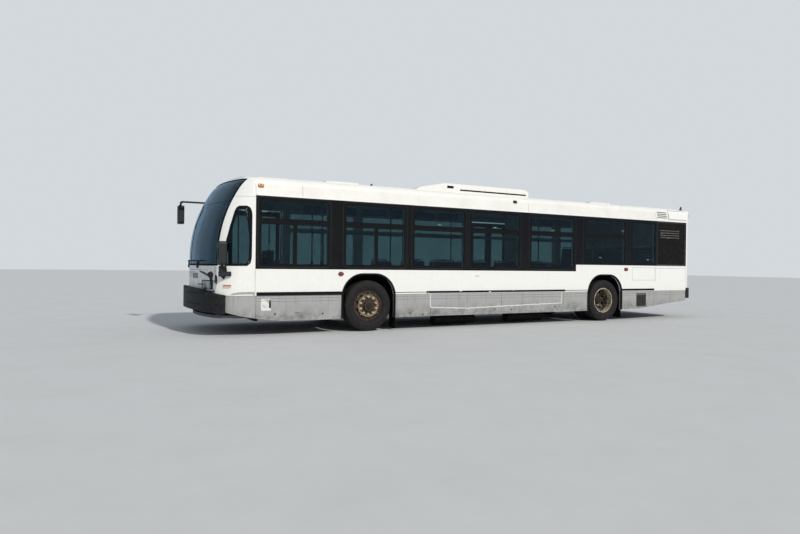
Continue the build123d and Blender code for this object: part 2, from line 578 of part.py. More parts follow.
bulkhead = extrude(roof_section(WALL, PLATFORM_Z - 50), amount=BULKHEAD_THICKNESS)
save("bulkhead", Pos(BULKHEAD_X - BULKHEAD_THICKNESS, 0, 0) * bulkhead)

# Underframe: on each side a rail that steps up behind the low floor, with a jack pad and a towing bracket
RAIL_Y = 460
RAIL_HALF = 40
RAIL_BOTTOM_Z = 262
RAIL_FRONT_X = 5700
HIGH_RAIL_HEIGHT = 100
RAIL_STEP = 40
JACK_PAD_X = 1600
JACK_PAD_HALF = 60
JACK_PAD_HEIGHT = 10
TOW_HOLE_RADIUS = 20
FRONT_TOW_X = 5640
REAR_TOW_X = -6060
REAR_TOW_Z = 405
BRACKET_HALF_THICKNESS = 15
BRACKET_EDGE = 55
low_floor_under = FLOOR_Z - FLOOR_THICKNESS
platform_under = PLATFORM_Z - FLOOR_THICKNESS
step_front_x = PLATFORM_X - RISER_THICKNESS
step_rear_x = step_front_x - RAIL_STEP
high_rail_bottom = platform_under - HIGH_RAIL_HEIGHT
rail_outline = [(RAIL_FRONT_X, RAIL_BOTTOM_Z), (RAIL_FRONT_X, low_floor_under), (step_front_x, low_floor_under),
                (step_front_x, platform_under), (REAR_X, platform_under), (REAR_X, high_rail_bottom),
                (step_rear_x, high_rail_bottom), (step_rear_x, RAIL_BOTTOM_Z)]
rail = side_prism(rail_outline, RAIL_Y - RAIL_HALF, RAIL_Y + RAIL_HALF)
bracket = box(REAR_TOW_X - BRACKET_EDGE, REAR_TOW_X + BRACKET_EDGE, RAIL_Y - BRACKET_HALF_THICKNESS,
              RAIL_Y + BRACKET_HALF_THICKNESS, REAR_TOW_Z - BRACKET_EDGE, high_rail_bottom)
pad = box(JACK_PAD_X - JACK_PAD_HALF, JACK_PAD_X + JACK_PAD_HALF, RAIL_Y - RAIL_HALF, RAIL_Y + RAIL_HALF,
          RAIL_BOTTOM_Z - JACK_PAD_HEIGHT, RAIL_BOTTOM_Z)
front_tow_z = (RAIL_BOTTOM_Z + low_floor_under) / 2
rail = join(rail, bracket, pad)
rail = rail - y_cylinder(TOW_HOLE_RADIUS, RAIL_Y - 60, RAIL_Y + 60, FRONT_TOW_X, front_tow_z)
rail = rail - y_cylinder(TOW_HOLE_RADIUS, RAIL_Y - 60, RAIL_Y + 60, REAR_TOW_X, REAR_TOW_Z)
save("frame_rails", *both_sides(rail))

# Engine under the rear seats
ENGINE = (-5950, -5000, 420, 330, 1150)  # rear, front, half width, bottom, top
save("engine_block", box(ENGINE[0], ENGINE[1], -ENGINE[2], ENGINE[2], ENGINE[3], ENGINE[4]))

# Cross members: x, underside of the floor above, between the rails, outside the rails
CROSS_HALF = 30
CROSS_HEIGHT = low_floor_under - RAIL_BOTTOM_Z
CROSS_MEMBERS = [
    (5250, low_floor_under, True, True),
    (FRONT_AXLE + 1300, low_floor_under, True, True),
    (FRONT_AXLE - 800, low_floor_under, True, True),
    (1200, low_floor_under, True, True),
    (100, low_floor_under, True, True),
    (-1000, low_floor_under, True, True),
    (PLATFORM_X + 200, low_floor_under, True, True),
    (REAR_AXLE + 500, platform_under, True, False),
    (REAR_AXLE - HOUSING_HALF_LENGTH - 100, platform_under, True, True),
    (ENGINE[1] + 600, platform_under, True, True),
    (ENGINE[1] + 200, platform_under, True, True),
    (ENGINE[0] + 50, platform_under, False, True),
]
members = []
for x, top, between, outside in CROSS_MEMBERS:
    ends = (x - CROSS_HALF, x + CROSS_HALF)
    if between:
        members.append(box(*ends, -RAIL_Y + RAIL_HALF, RAIL_Y - RAIL_HALF, top - CROSS_HEIGHT, top))
    if outside:
        members += both_sides(box(*ends, RAIL_Y + RAIL_HALF, inside, top - CROSS_HEIGHT, top))
save("cross_members", *members)
TANKS = [(400, 1400, 820), (-1500, -500, 820)]
TANK_RADIUS = 110
tank_z = RAIL_BOTTOM_Z - SEAT_GAP - TANK_RADIUS
save("air_tanks", *[x_cylinder(TANK_RADIUS, x0, x1, y, tank_z) for x0, x1, y in TANKS])

# Tyres: distance from the middle plane and radius of each corner of the section
TYRE_PROFILE = [(-110, RIM_RADIUS + SEAT_GAP), (-110, FLANGE_RADIUS + 2), (-134, 308),
                (-TYRE_WIDTH / 2, 388), (-143, 465), (-112, TYRE_RADIUS), (112, TYRE_RADIUS), (143, 465),
                (TYRE_WIDTH / 2, 388), (134, 308), (110, FLANGE_RADIUS + 2), (110, RIM_RADIUS + SEAT_GAP)]
FRONT_RIM = [(-122, 276), (-122, FLANGE_RADIUS), (-114, FLANGE_RADIUS), (-112, RIM_RADIUS),
             (112, RIM_RADIUS), (114, FLANGE_RADIUS), (122, FLANGE_RADIUS), (122, 276), (110, 276),
             (118, 240), (142, 175), (146, HUB_RADIUS), (180, 95), (186, 60), (186, 0), (150, 0),
             (150, SPINDLE_RADIUS + 0.05), (-32, SPINDLE_RADIUS + 0.05), (-32, 190), (90, 195), (90, 110),
             (132, 110), (132, 170), (108, 235), (98, 270), (90, 276)]
REAR_OUTER_RIM = [(-122, 276), (-122, FLANGE_RADIUS), (-114, FLANGE_RADIUS), (-112, RIM_RADIUS),
                  (112, RIM_RADIUS), (114, FLANGE_RADIUS), (122, FLANGE_RADIUS), (122, 276),
                  (-70, 270), (-100, 262), (-150, 190), (-155, 112), (-167, 112), (-167, 195), (-122, 250)]
REAR_INNER_RIM = [(-a, r) for a, r in REAR_OUTER_RIM]
INNER_TYRE_Y = OUTER_TYRE_Y - TWIN_SPACING
REAR_SPINDLE_RADIUS = 60
HUB_FACE_Y = (OUTER_TYRE_Y + INNER_TYRE_Y) / 2
HAND_HOLE_RADIUS = 26
HAND_HOLE_CIRCLE = 205


def wheel_ring(radius, circle, count, y0, y1, x):
    """Cylinders along Y on a circle about a wheel's axle."""
    turns = [2 * math.pi * (i + 0.5) / count for i in range(count)]
    return [y_cylinder(radius, y0, y1, x + circle * math.cos(a), WHEEL_Z + circle * math.sin(a)) for a in turns]


front_tyre = revolved(TYRE_PROFILE, FRONT_AXLE, OUTER_TYRE_Y, WHEEL_Z)
save("tyre_front_left", front_tyre)
save("tyre_front_right", mirror(front_tyre, about=Plane.XZ))
front_wheel = revolved(FRONT_RIM, FRONT_AXLE, OUTER_TYRE_Y, WHEEL_Z)
front_wheel = cut_all(front_wheel, wheel_ring(HAND_HOLE_RADIUS, HAND_HOLE_CIRCLE + 15, HAND_HOLES,
                                             OUTER_TYRE_Y + 92, OUTER_TYRE_Y + 200, FRONT_AXLE))
save("wheel_front_left", front_wheel)
save("wheel_front_right", mirror(front_wheel, about=Plane.XZ))
rear_tyres = [revolved(TYRE_PROFILE, REAR_AXLE, y, WHEEL_Z) for y in (OUTER_TYRE_Y, INNER_TYRE_Y)]
save("tyres_rear_left", *rear_tyres)
save("tyres_rear_right", *[mirror(t, about=Plane.XZ) for t in rear_tyres])
outer_rim = revolved(REAR_OUTER_RIM, REAR_AXLE, OUTER_TYRE_Y, WHEEL_Z)
inner_rim = revolved(REAR_INNER_RIM, REAR_AXLE, INNER_TYRE_Y, WHEEL_Z)
REAR_HUB = [(-170, REAR_SPINDLE_RADIUS + 0.05), (-170, 200), (-12, 205), (-12, 115), (100, 110), (118, 85),
            (118, 0), (90, 0), (90, REAR_SPINDLE_RADIUS + 0.05)]
hub = revolved(REAR_HUB, REAR_AXLE, HUB_FACE_Y, WHEEL_Z)
disc = revolved([(-16, 100), (-16, 200), (18, 200), (18, 100)], REAR_AXLE, HUB_FACE_Y, WHEEL_Z)
rear_wheel = join(outer_rim, disc, inner_rim, hub)
rear_wheel = cut_all(rear_wheel, wheel_ring(HAND_HOLE_RADIUS, HAND_HOLE_CIRCLE + 22, HAND_HOLES, HUB_FACE_Y + 1,
                                           HUB_FACE_Y + 120, REAR_AXLE))
save("wheel_rear_left", rear_wheel)
save("wheel_rear_right", mirror(rear_wheel, about=Plane.XZ))

# Front axle beam with kingpins; knuckles; tie rod
x0 = FRONT_AXLE
BOSS_HALF = 50
UPRIGHT_INNER_Y = 700
UPRIGHT_OUTER_Y = 780
axle = box(x0 - 55, x0 + 55, -UPRIGHT_OUTER_Y, UPRIGHT_OUTER_Y, BEAM_BOTTOM_Z, BEAM_TOP_Z)
for side in (1, -1):
    axle = join(axle,
                box(x0 - 40, x0 + 40, side * UPRIGHT_INNER_Y, side * UPRIGHT_OUTER_Y, BEAM_BOTTOM_Z,
                    WHEEL_Z + BOSS_HALF),
                box(x0 - 35, x0 + 35, side * UPRIGHT_INNER_Y, side * KINGPIN_Y, WHEEL_Z - BOSS_HALF,
                    WHEEL_Z + BOSS_HALF),
                z_cylinder(45, WHEEL_Z - BOSS_HALF, WHEEL_Z + BOSS_HALF, x0, side * KINGPIN_Y),
                z_cylinder(70, BEAM_TOP_Z - 5, FLOOR_Z - FLOOR_THICKNESS, x0, side * 300))
for side in (1, -1):
    axle = axle - z_cylinder(KINGPIN_RADIUS + 0.05, WHEEL_Z - BOSS_HALF - 5, WHEEL_Z + BOSS_HALF + 5, x0,
                             side * KINGPIN_Y)
save("front_axle", axle)
LUG_GAP = 1
lug_low = WHEEL_Z - BOSS_HALF - LUG_GAP
lug_high = WHEEL_Z + BOSS_HALF + LUG_GAP
arm_end = (x0 + STEER_ARM_X, KINGPIN_Y + STEER_ARM_Y)
knuckle = join(
    z_cylinder(KINGPIN_RADIUS, lug_low - 30, lug_high + 30, x0, KINGPIN_Y),
    z_cylinder(46, lug_low - 35, lug_low, x0, KINGPIN_Y),
    z_cylinder(46, lug_high, lug_high + 35, x0, KINGPIN_Y),
    box(x0 - 40, x0 + 40, KINGPIN_Y + 20, KINGPIN_Y + 70, lug_low - 35, lug_low),
    box(x0 - 40, x0 + 40, KINGPIN_Y + 20, KINGPIN_Y + 70, lug_high, lug_high + 35),
    box(x0 - 40, x0 + 40, KINGPIN_Y + 50, KINGPIN_Y + 72, lug_low - 35, lug_high + 35),
    y_cylinder(SPINDLE_RADIUS, KINGPIN_Y + 60, OUTER_TYRE_Y + 145, x0, WHEEL_Z),
    box(x0 - 25, x0 + 25, KINGPIN_Y + STEER_ARM_Y - 20, KINGPIN_Y, lug_low - 35, lug_low - 5),
    side_prism([(x0 + 25, lug_low - 5), (x0 + 25, lug_low - 35), (arm_end[0] + 25, TIE_ROD_Z + 25),
                (arm_end[0] - 25, TIE_ROD_Z + 25), (arm_end[0] - 25, TIE_ROD_Z + 55)],
               arm_end[1] - 20, arm_end[1] + 20),
    z_cylinder(12, TIE_ROD_Z - 20, TIE_ROD_Z + 30, *arm_end))
save("knuckle_left", knuckle)
save("knuckle_right", mirror(knuckle, about=Plane.XZ))
TIE_ROD_RADIUS = 17
ROD_EYE_RADIUS = 26
OPEN_END_GAP = 60
rod = join(z_cylinder(ROD_EYE_RADIUS, TIE_ROD_Z - 17, TIE_ROD_Z + 17, *arm_end),
           y_cylinder(TIE_ROD_RADIUS - 2, -arm_end[1] + OPEN_END_GAP, arm_end[1] - 10, arm_end[0], TIE_ROD_Z))
save("tie_rod", rod - z_cylinder(12.05, TIE_ROD_Z - 40, TIE_ROD_Z + 40, *arm_end))

# Rear axle with springs
x0 = REAR_AXLE
rear_axle = join(y_cylinder(78, -HUB_FACE_Y + 190, HUB_FACE_Y - 190, x0, WHEEL_Z),
                 y_cylinder(REAR_SPINDLE_RADIUS, -HUB_FACE_Y - 80, HUB_FACE_Y + 80, x0, WHEEL_Z),
                 Pos(x0, 0, WHEEL_Z) * Sphere(200),
                 x_cylinder(60, x0 - 330, x0, 0, WHEEL_Z))
for side in (1, -1):
    rear_axle = join(rear_axle, z_cylinder(100, WHEEL_Z, platform_under, x0, side * 300))
save("rear_axle", rear_axle)

# Doors: a post in each jamb turns two arms, and the arms carry the middle of the leaf
DOOR_GLASS_MARGIN = 75
post_y = LEAF_Y
NOSE_GAP = 5


def door_leaf(post_x, direction, reach):
    """A leaf with a glazed opening; direction is +1 where it lies ahead of its post."""
    x0 = post_x + direction * LEAF_INSET
    x1 = post_x + direction * reach
    low, high = min(x0, x1), max(x0, x1)
    leaf = box(low, high, LEAF_Y - LEAF_THICKNESS / 2, LEAF_Y + LEAF_THICKNESS / 2, LEAF_BOTTOM_Z, LEAF_TOP_Z)
    opening = rounded_window(low + DOOR_GLASS_MARGIN, high - DOOR_GLASS_MARGIN, LEAF_BOTTOM_Z + 150,
                             LEAF_TOP_Z - 90, 50, LEAF_Y - 100, LEAF_Y + 100)
    return leaf - opening, low, high


def door_pane(low, high):
    """The pane of a leaf, held by its opening."""
    gap = SEAT_GAP
    return rounded_window(low + DOOR_GLASS_MARGIN + gap, high - DOOR_GLASS_MARGIN - gap,
                          LEAF_BOTTOM_Z + 150 + gap, LEAF_TOP_Z - 90 - gap, 50 - gap, LEAF_Y - 4, LEAF_Y + 4)


def door_arm(post_x, direction):
    """Post with an arm above and below the leaf and a pin in each arm's end."""
    pin_x = post_x + direction * ARM_LENGTH
    top_z = LEAF_TOP_Z + 5
    low_z = LEAF_BOTTOM_Z - 5 - ARM_HEIGHT
    parts = [z_cylinder(POST_RADIUS, FLOOR_Z + SEAT_GAP, DOOR_HEADER_Z - SEAT_GAP, post_x, post_y)]
    for z in (top_z, low_z):
        parts.append(box(min(post_x, pin_x), max(post_x, pin_x), post_y - 12, post_y + 12, z, z + ARM_HEIGHT))
        parts.append(z_cylinder(14, z, z + ARM_HEIGHT, pin_x, post_y))
    parts.append(z_cylinder(PIVOT_RADIUS, LEAF_TOP_Z - 30, top_z + 5, pin_x, post_y))
    parts.append(z_cylinder(PIVOT_RADIUS, low_z + 5, LEAF_BOTTOM_Z + 30, pin_x, post_y))
    return join(*parts)


front_middle = (FRONT_DOOR[0] + FRONT_DOOR[1]) / 2
for name, jamb, direction in (("rear", FRONT_DOOR[0], 1), ("front", FRONT_DOOR[1], -1)):
    post_x = jamb + direction * POST_INSET
    leaf, low, high = door_leaf(post_x, direction, abs(front_middle - post_x) - NOSE_GAP)
    pin_x = post_x + direction * ARM_LENGTH
    for z0, z1 in ((LEAF_BOTTOM_Z - 1, LEAF_BOTTOM_Z + 32), (LEAF_TOP_Z - 32, LEAF_TOP_Z + 1)):
        leaf = leaf - z_cylinder(PIVOT_RADIUS + 0.05, z0, z1, pin_x, post_y)
    save(f"front_door_{name}_leaf", leaf)
    save(f"front_door_{name}_glass", door_pane(low, high))
    save(f"front_door_{name}_arm", door_arm(post_x, direction))

# Rear door: each leaf swings out on its own post
rear_middle = (REAR_DOOR[0] + REAR_DOOR[1]) / 2
for name, jamb, direction in (("rear", REAR_DOOR[0], 1), ("front", REAR_DOOR[1], -1)):
    post_x = jamb + direction * POST_INSET
    leaf, low, high = door_leaf(post_x, direction, abs(rear_middle - post_x) - NOSE_GAP)
    post = z_cylinder(POST_RADIUS, FLOOR_Z + SEAT_GAP, DOOR_HEADER_Z - SEAT_GAP, post_x, post_y)
    for z in (500, 1400, 2300):
        post = post + box(min(post_x, post_x + direction * (LEAF_INSET + 5)), max(post_x, post_x + direction *
                          (LEAF_INSET + 5)), post_y - 12, post_y + 12, z - 40, z + 40)
    save(f"rear_door_{name}_leaf", leaf + post)
    save(f"rear_door_{name}_glass", door_pane(low, high))

# Driver's place
dash_outline = [(5620, 1020), (5640, 1080), (5800, 1170), (6010, 1180), (6010, 700), (5900, FLOOR_Z),
                (5800, FLOOR_Z), (5780, 900)]
dash = side_prism(dash_outline, -1000, 1120) & front_block(WALL)
WHEEL_TILT = 25
WHEEL_CENTRE = (5420, 640, 1130)
wheel = Torus(225, 15)
spokes = [Rot(0, 0, a) * box(20, 225, -14, 14, -12, 4) for a in (0, 120, 240)]
wheel = join(wheel, z_cylinder(45, -40, 5), *spokes)
wheel = wheel - z_cylinder(12.05, -50, -10)
place = Pos(*WHEEL_CENTRE) * Rot(0, -WHEEL_TILT, 0)
save("steering_wheel", place * wheel)
column = place * join(z_cylinder(12, -100, -10), z_cylinder(35, -900, -42))
column = column & box(5000, 6000, 400, 900, FLOOR_Z, 1400)
save("dashboard", dash + column)
SEAT_X = 4920
seat_side = [(0, 440), (480, 470), (480, 560), (110, 540), (20, 1150), (-80, 1150), (-60, 540)]
driver_seat = join(side_prism([(SEAT_X + x, FLOOR_Z + z) for x, z in seat_side], 410, 870),
                   box(SEAT_X + 60, SEAT_X + 420, 470, 810, FLOOR_Z, FLOOR_Z + 460))

# Passenger seats: x of the front edge of the back rest, floor height, left and right
SEAT_WIDTH = 860
SEATS = [
    (1900, FLOOR_Z, True, True),
    (1100, FLOOR_Z, True, True),
    (300, FLOOR_Z, True, True),
    (-500, FLOOR_Z, True, True),
    (-1300, FLOOR_Z, True, False),
    (-4050, PLATFORM_Z, True, True),
    (-4750, PLATFORM_Z, True, True),
]
PASSENGER_SIDE = [(0, 390), (430, 420), (430, 470), (60, 450), (0, 990), (-50, 990), (-20, 440)]


def seat_pair(x, floor_z):
    """Two places side by side against the left wall, on one pedestal."""
    outline = [(x + dx, floor_z + dz) for dx, dz in PASSENGER_SIDE]
    pair = side_prism(outline, inside - SEAT_WIDTH, inside)
    middle = inside - SEAT_WIDTH / 2
    return join(pair, box(x + 120, x + 200, middle - 60, middle + 60, floor_z, floor_z + 410))


seats = [driver_seat]
for x, floor_z, left, right in SEATS:
    if left:
        seats.append(seat_pair(x, floor_z))
    if right:
        seats.append(mirror(seat_pair(x, floor_z), about=Plane.XZ))
save("seats", *seats)

# Stanchions from floor to ceiling, and hand rails from one to the next
STANCHION_RADIUS = 17.5
RAIL_HEIGHT = 1950
STANCHION_Y = 300
STANCHIONS = [(3700, FLOOR_Z), (1860, FLOOR_Z), (260, FLOOR_Z), (-1340, FLOOR_Z),
              (PLATFORM_X - 200, PLATFORM_Z), (-4300, PLATFORM_Z)]
ceiling = roof_prism(WALL, -4800, 5200, 100)
tubes = [z_cylinder(STANCHION_RADIUS, z, 3000, x, STANCHION_Y) & ceiling for x, z in STANCHIONS]
for ahead_of, behind_of in zip(STANCHIONS, STANCHIONS[1:]):
    clear = STANCHION_RADIUS + SEAT_GAP
    tube = x_cylinder(STANCHION_RADIUS, behind_of[0], ahead_of[0], STANCHION_Y, RAIL_HEIGHT)
    holes = [z_cylinder(clear, 1800, 2100, x, STANCHION_Y) for x in (behind_of[0], ahead_of[0])]
    tubes.append(cut_all(tube, holes))
save("handrails", *tubes, *[mirror(tube, about=Plane.XZ) for tube in tubes])

# Mirrors, both held by an arm from the body
left_head = Pos(5900, 1490, 1440) * fillet(Box(110, 240, 400).edges().filter_by(Axis.X), 45)
left_arm = join(box(5855, 5905, 1290, 1500, 1070, 1110), box(5875, 5905, 1455, 1490, 1070, 1260),
                box(5700, 5905, 1240, 1300, 1050, 1130))
left_mirror = join(left_head, left_arm) - outer
right_head = Pos(6160, -1495, 2270) * fillet(Box(110, 230, 380).edges().filter_by(Axis.X), 45)
right_arm = join(box(5500, 6180, -1250, -1215, 2500, 2535), box(6145, 6180, -1500, -1215, 2500, 2535),
                 box(6145, 6180, -1515, -1480, 2440, 2535))
right_mirror = join(right_head, right_arm) - outer
save("mirrors", *[whole.solids().sort_by(SortBy.VOLUME)[-1] for whole in (left_mirror, right_mirror)])

# Marker lamps: x, z, half length, half height, on both sides
MARKERS = [(5196, 2640, 35, 22), (-391, 2683, 35, 22), (-6122, 2655, 25, 22), (-3789, 1235, 45, 28),
           (3684, 1098, 22, 30), (5752, 886, 25, 25)]
LAMP_RISE = 14
marker_lamps = []
for x, z, half_x, half_z in MARKERS:
    if x < REAR_SEAM_X:
        body = rear_block(0)
    elif x > FRONT_SEAM_X:
        body = outer
    else:
        body = roof_prism(0, x - 300, x + 300, 800)
    raised = (Pos(0, LAMP_RISE, 0) * body) & box(x - half_x, x + half_x, 1100, 1400, z - half_z, z + half_z)
    marker_lamps += both_sides(raised - body)
save("marker_lamps", *marker_lamps)

# Wipers lie low on the windscreen
wipers = []
for y0, y1 in ((120, 900), (-900, -120)):
    reach = box(6100, 6260, y0, y1, SCREEN_BOTTOM_Z + 60, SCREEN_BOTTOM_Z + 85)
    pivot = box(6100, 6260, (y0 + y1) / 2 - 20, (y0 + y1) / 2 + 20, SCREEN_BOTTOM_Z - 60, SCREEN_BOTTOM_Z + 70)
    layer = Pos(22, 0, 0) * outer - outer
    wipers.append((reach + pivot) & layer)
save("wipers", *wipers)

# Mud flaps hang inside the housings behind the wheels
FLAP_THICKNESS = 8
flaps = []
for axle_x, inner_y, low in ((FRONT_AXLE, 960, 30), (REAR_AXLE, 620, 70)):
    x = axle_x - HOUSING_HALF_LENGTH
    flap = box(x, x + FLAP_THICKNESS, inner_y, inside, low, 420)
    flaps += both_sides(flap)
save("mud_flaps", *flaps)
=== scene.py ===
import bpy
import bmesh
import math
from mathutils import Matrix, Vector
from mathutils.bvhtree import BVHTree


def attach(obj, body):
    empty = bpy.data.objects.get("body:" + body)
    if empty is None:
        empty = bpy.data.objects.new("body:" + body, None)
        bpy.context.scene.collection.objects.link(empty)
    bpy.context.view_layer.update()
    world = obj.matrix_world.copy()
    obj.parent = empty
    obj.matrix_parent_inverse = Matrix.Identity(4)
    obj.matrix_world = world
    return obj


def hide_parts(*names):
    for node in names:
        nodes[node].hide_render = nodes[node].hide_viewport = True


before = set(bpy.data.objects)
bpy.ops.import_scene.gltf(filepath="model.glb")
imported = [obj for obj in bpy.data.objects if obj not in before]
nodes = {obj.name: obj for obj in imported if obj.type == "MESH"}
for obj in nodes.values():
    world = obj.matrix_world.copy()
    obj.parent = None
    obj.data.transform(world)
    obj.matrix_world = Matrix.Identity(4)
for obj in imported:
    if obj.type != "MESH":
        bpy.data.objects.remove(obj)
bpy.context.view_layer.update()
bothSides = (("left", 1), ("right", -1))
axles = {"front": 3.1, "rear": -3.1}
axleZ = 0.49
sideY = 1.295
print("frame loaded:", len(nodes), "nodes")


# camera at the photo's place; pixels are those of the 800 x 534 picture

shot = {"place": (7.901, 11.729, 1.278), "yaw": 27.613, "pitch": -0.191, "roll": 0.680, "focal": 600.16,
        "width": 800, "height": 534, "toNose": 10.8}
yaw, pitch, roll = [math.radians(shot[k]) for k in ("yaw", "pitch", "roll")]
ahead = Vector((-math.sin(yaw) * math.cos(pitch), -math.cos(yaw) * math.cos(pitch), math.sin(pitch)))
level = Vector((-math.cos(yaw), math.sin(yaw), 0))
upward = level.cross(ahead)
across = level * math.cos(roll) + upward * math.sin(roll)
upright = upward * math.cos(roll) - level * math.sin(roll)
cameraData = bpy.data.cameras.new("photoCamera")
cameraData.sensor_width = 36
cameraData.lens = 36 * shot["focal"] / shot["width"]
cameraData.clip_end = 500
camera = bpy.data.objects.new("photoCamera", cameraData)
turn = Matrix((across, upright, -ahead)).transposed().to_4x4()
camera.matrix_world = Matrix.Translation(shot["place"]) @ turn
bpy.context.scene.collection.objects.link(camera)
bpy.context.scene.camera = camera


def sightLine(px, py):
    u = (px - shot["width"] / 2) / shot["focal"]
    v = (shot["height"] / 2 - py) / shot["focal"]
    return (ahead + across * u + upright * v).normalized()


print("camera placed")


# colour and node helpers

def hexToLinear(code, gain=1.0):
    channels = [int(code[i:i + 2], 16) / 255 for i in (1, 3, 5)]
    linear = [c / 12.92 if c <= 0.04045 else ((c + 0.055) / 1.055) ** 2.4 for c in channels]
    return (*[min(1.0, c * gain) for c in linear], 1.0)


def outOf(source):
    # a node stands for its first output
    return source.outputs[0] if isinstance(source, bpy.types.Node) else source


def addNode(tree, kind, inputs=None, stops=(), **settings):
    # one node with its values or links, its colour stops and its settings
    node = tree.nodes.new("ShaderNode" + kind)
    for name, value in settings.items():
        setattr(node, name, value)
    for name, value in (inputs or {}).items():
        if isinstance(outOf(value), bpy.types.NodeSocket):
            tree.links.new(outOf(value), node.inputs[name])
        else:
            node.inputs[name].default_value = value
    for i, (spot, colour) in enumerate(stops):
        element = node.color_ramp.elements[i] if i < 2 else node.color_ramp.elements.new(spot)
        element.position = spot
        element.color = colour if isinstance(colour, tuple) else (colour, colour, colour, 1.0)
    return node


def newMaterial(name, colour, roughness, metallic=0.0, sockets=None):
    material = bpy.data.materials.new(name)
    material.use_nodes = True
    shader = material.node_tree.nodes["Principled BSDF"]
    shader.inputs["Base Color"].default_value = hexToLinear(colour)
    shader.inputs["Roughness"].default_value = roughness
    shader.inputs["Metallic"].default_value = metallic
    for socket, value in (sockets or {}).items():
        shader.inputs[socket].default_value = value
    material.diffuse_color = hexToLinear(colour)
    place = addNode(material.node_tree, "TexCoord").outputs["Object"]
    return material, material.node_tree, shader, place


def wire(tree, shader, **sources):
    # what drives the shader's colour, roughness and normal
    for socket, source in sources.items():
        tree.links.new(outOf(source), shader.inputs["Base Color" if socket == "colour" else socket.title()])


def coachPaint(name, finish):
    # two-pack coach enamel, sprayed over panels and polished: even colour and a soft gloss, then years of
    # road film low down, thin rain streaks below the windows, panels that aren't quite flat; sizes in mm
    material, tree, shader, place = newMaterial(name, finish["clean"], finish["rough"], 0.0, {
        "Coat Weight": finish["coat"], "Coat Roughness": 0.12,
        "Specular IOR Level": finish.get("specular", 0.5)})
    split = addNode(tree, "SeparateXYZ", {"Vector": place})
    film = addNode(tree, "TexNoise", {"Vector": place, "Scale": 1000 / finish["patch"], "Detail": 6.0,
                                      "Roughness": 0.62})
    low = addNode(tree, "MapRange", {"Value": split.outputs["Z"], "From Min": finish["dirtFoot"],
                                     "From Max": finish["dirtTop"], "To Min": 1.0, "To Max": 0.0},
                  interpolation_type="SMOOTHSTEP")
    filmShare = addNode(tree, "ValToRGB", {"Fac": film}, [(0.36, 0.0), (0.70, 1.0)])
    dirt = addNode(tree, "Math", {0: filmShare, 1: low}, operation="MULTIPLY")
    dirt = addNode(tree, "Math", {0: dirt, 1: finish["dirtShare"]}, operation="MULTIPLY")
    drawn = addNode(tree, "Mapping", {"Vector": place, "Scale": (1.0, 1.0, 0.05)})
    runs = addNode(tree, "TexNoise", {"Vector": drawn, "Scale": 1000 / finish["streak"], "Detail": 3.0})
    runShare = addNode(tree, "ValToRGB", {"Fac": runs}, [(0.52, 0.0), (0.78, finish["streakShare"])])
    total = addNode(tree, "Math", {0: dirt, 1: runShare}, operation="MAXIMUM")
    tone = addNode(tree, "Mix", {0: total, 6: hexToLinear(finish["clean"]), 7: hexToLinear(finish["dirt"])},
                   data_type="RGBA")
    speck = addNode(tree, "TexNoise", {"Vector": place, "Scale": 1000 / 26, "Detail": 3.0})
    fleck = addNode(tree, "ValToRGB", {"Fac": speck}, [(0.28, 0.94), (0.55, 1.0)])
    final = addNode(tree, "Mix", {0: 1.0, 6: tone.outputs[2], 7: fleck}, data_type="RGBA",
                    blend_type="MULTIPLY")
    worn = addNode(tree, "MapRange", {"Value": total, "To Min": finish["rough"],
                                      "To Max": finish["rough"] + 0.35})
    wave = addNode(tree, "TexNoise", {"Vector": place, "Scale": 1000 / 320, "Detail": 1.5})
    press = addNode(tree, "Bump", {"Height": wave, "Distance": 0.004, "Strength": finish["wave"]})
    wire(tree, shader, colour=final.outputs[2], roughness=worn, normal=press)
    return material


def grainedFinish(name, finish):
    # a base tone with specks of a second one, a slow drift of tone over a hand's breadth, and the same grain
    # in the roughness and the surface; "grain" and "depth" are in millimetres
    metal, specular = finish.get("metal", 0.0), finish.get("specular", 0.5)
    material, tree, shader, place = newMaterial(name, finish["base"], finish["rough"], metal, {
        "Specular IOR Level": specular})
    grain = addNode(tree, "TexNoise", {"Vector": place, "Scale": 1000 / finish["grain"], "Detail": 5.0,
                                       "Roughness": 0.6})
    share = finish.get("share", 1.0)
    base, speck = hexToLinear(finish["base"]), hexToLinear(finish["speck"])
    far = tuple(b + (s - b) * share for b, s in zip(base, speck))
    tone = addNode(tree, "ValToRGB", {"Fac": grain}, [(0.44, base), (0.70, far)])
    drift = addNode(tree, "TexNoise", {"Vector": place, "Scale": 1000 / 180, "Detail": 2.0})
    shade = addNode(tree, "ValToRGB", {"Fac": drift}, [(0.3, finish.get("drift", 0.86)), (0.7, 1.0)])
    final = addNode(tree, "Mix", {0: 1.0, 6: tone, 7: shade}, data_type="RGBA", blend_type="MULTIPLY")
    worn = addNode(tree, "MapRange", {"Value": grain, "From Min": 0.3, "From Max": 0.75,
                                      "To Min": finish["rough"], "To Max": min(1.0, finish["rough"] + 0.18)})
    press = addNode(tree, "Bump", {"Height": grain, "Distance": finish.get("depth", 0.3) / 1000,
                                   "Strength": 0.6})
    wire(tree, shader, colour=final.outputs[2], roughness=worn, normal=press)
    return material


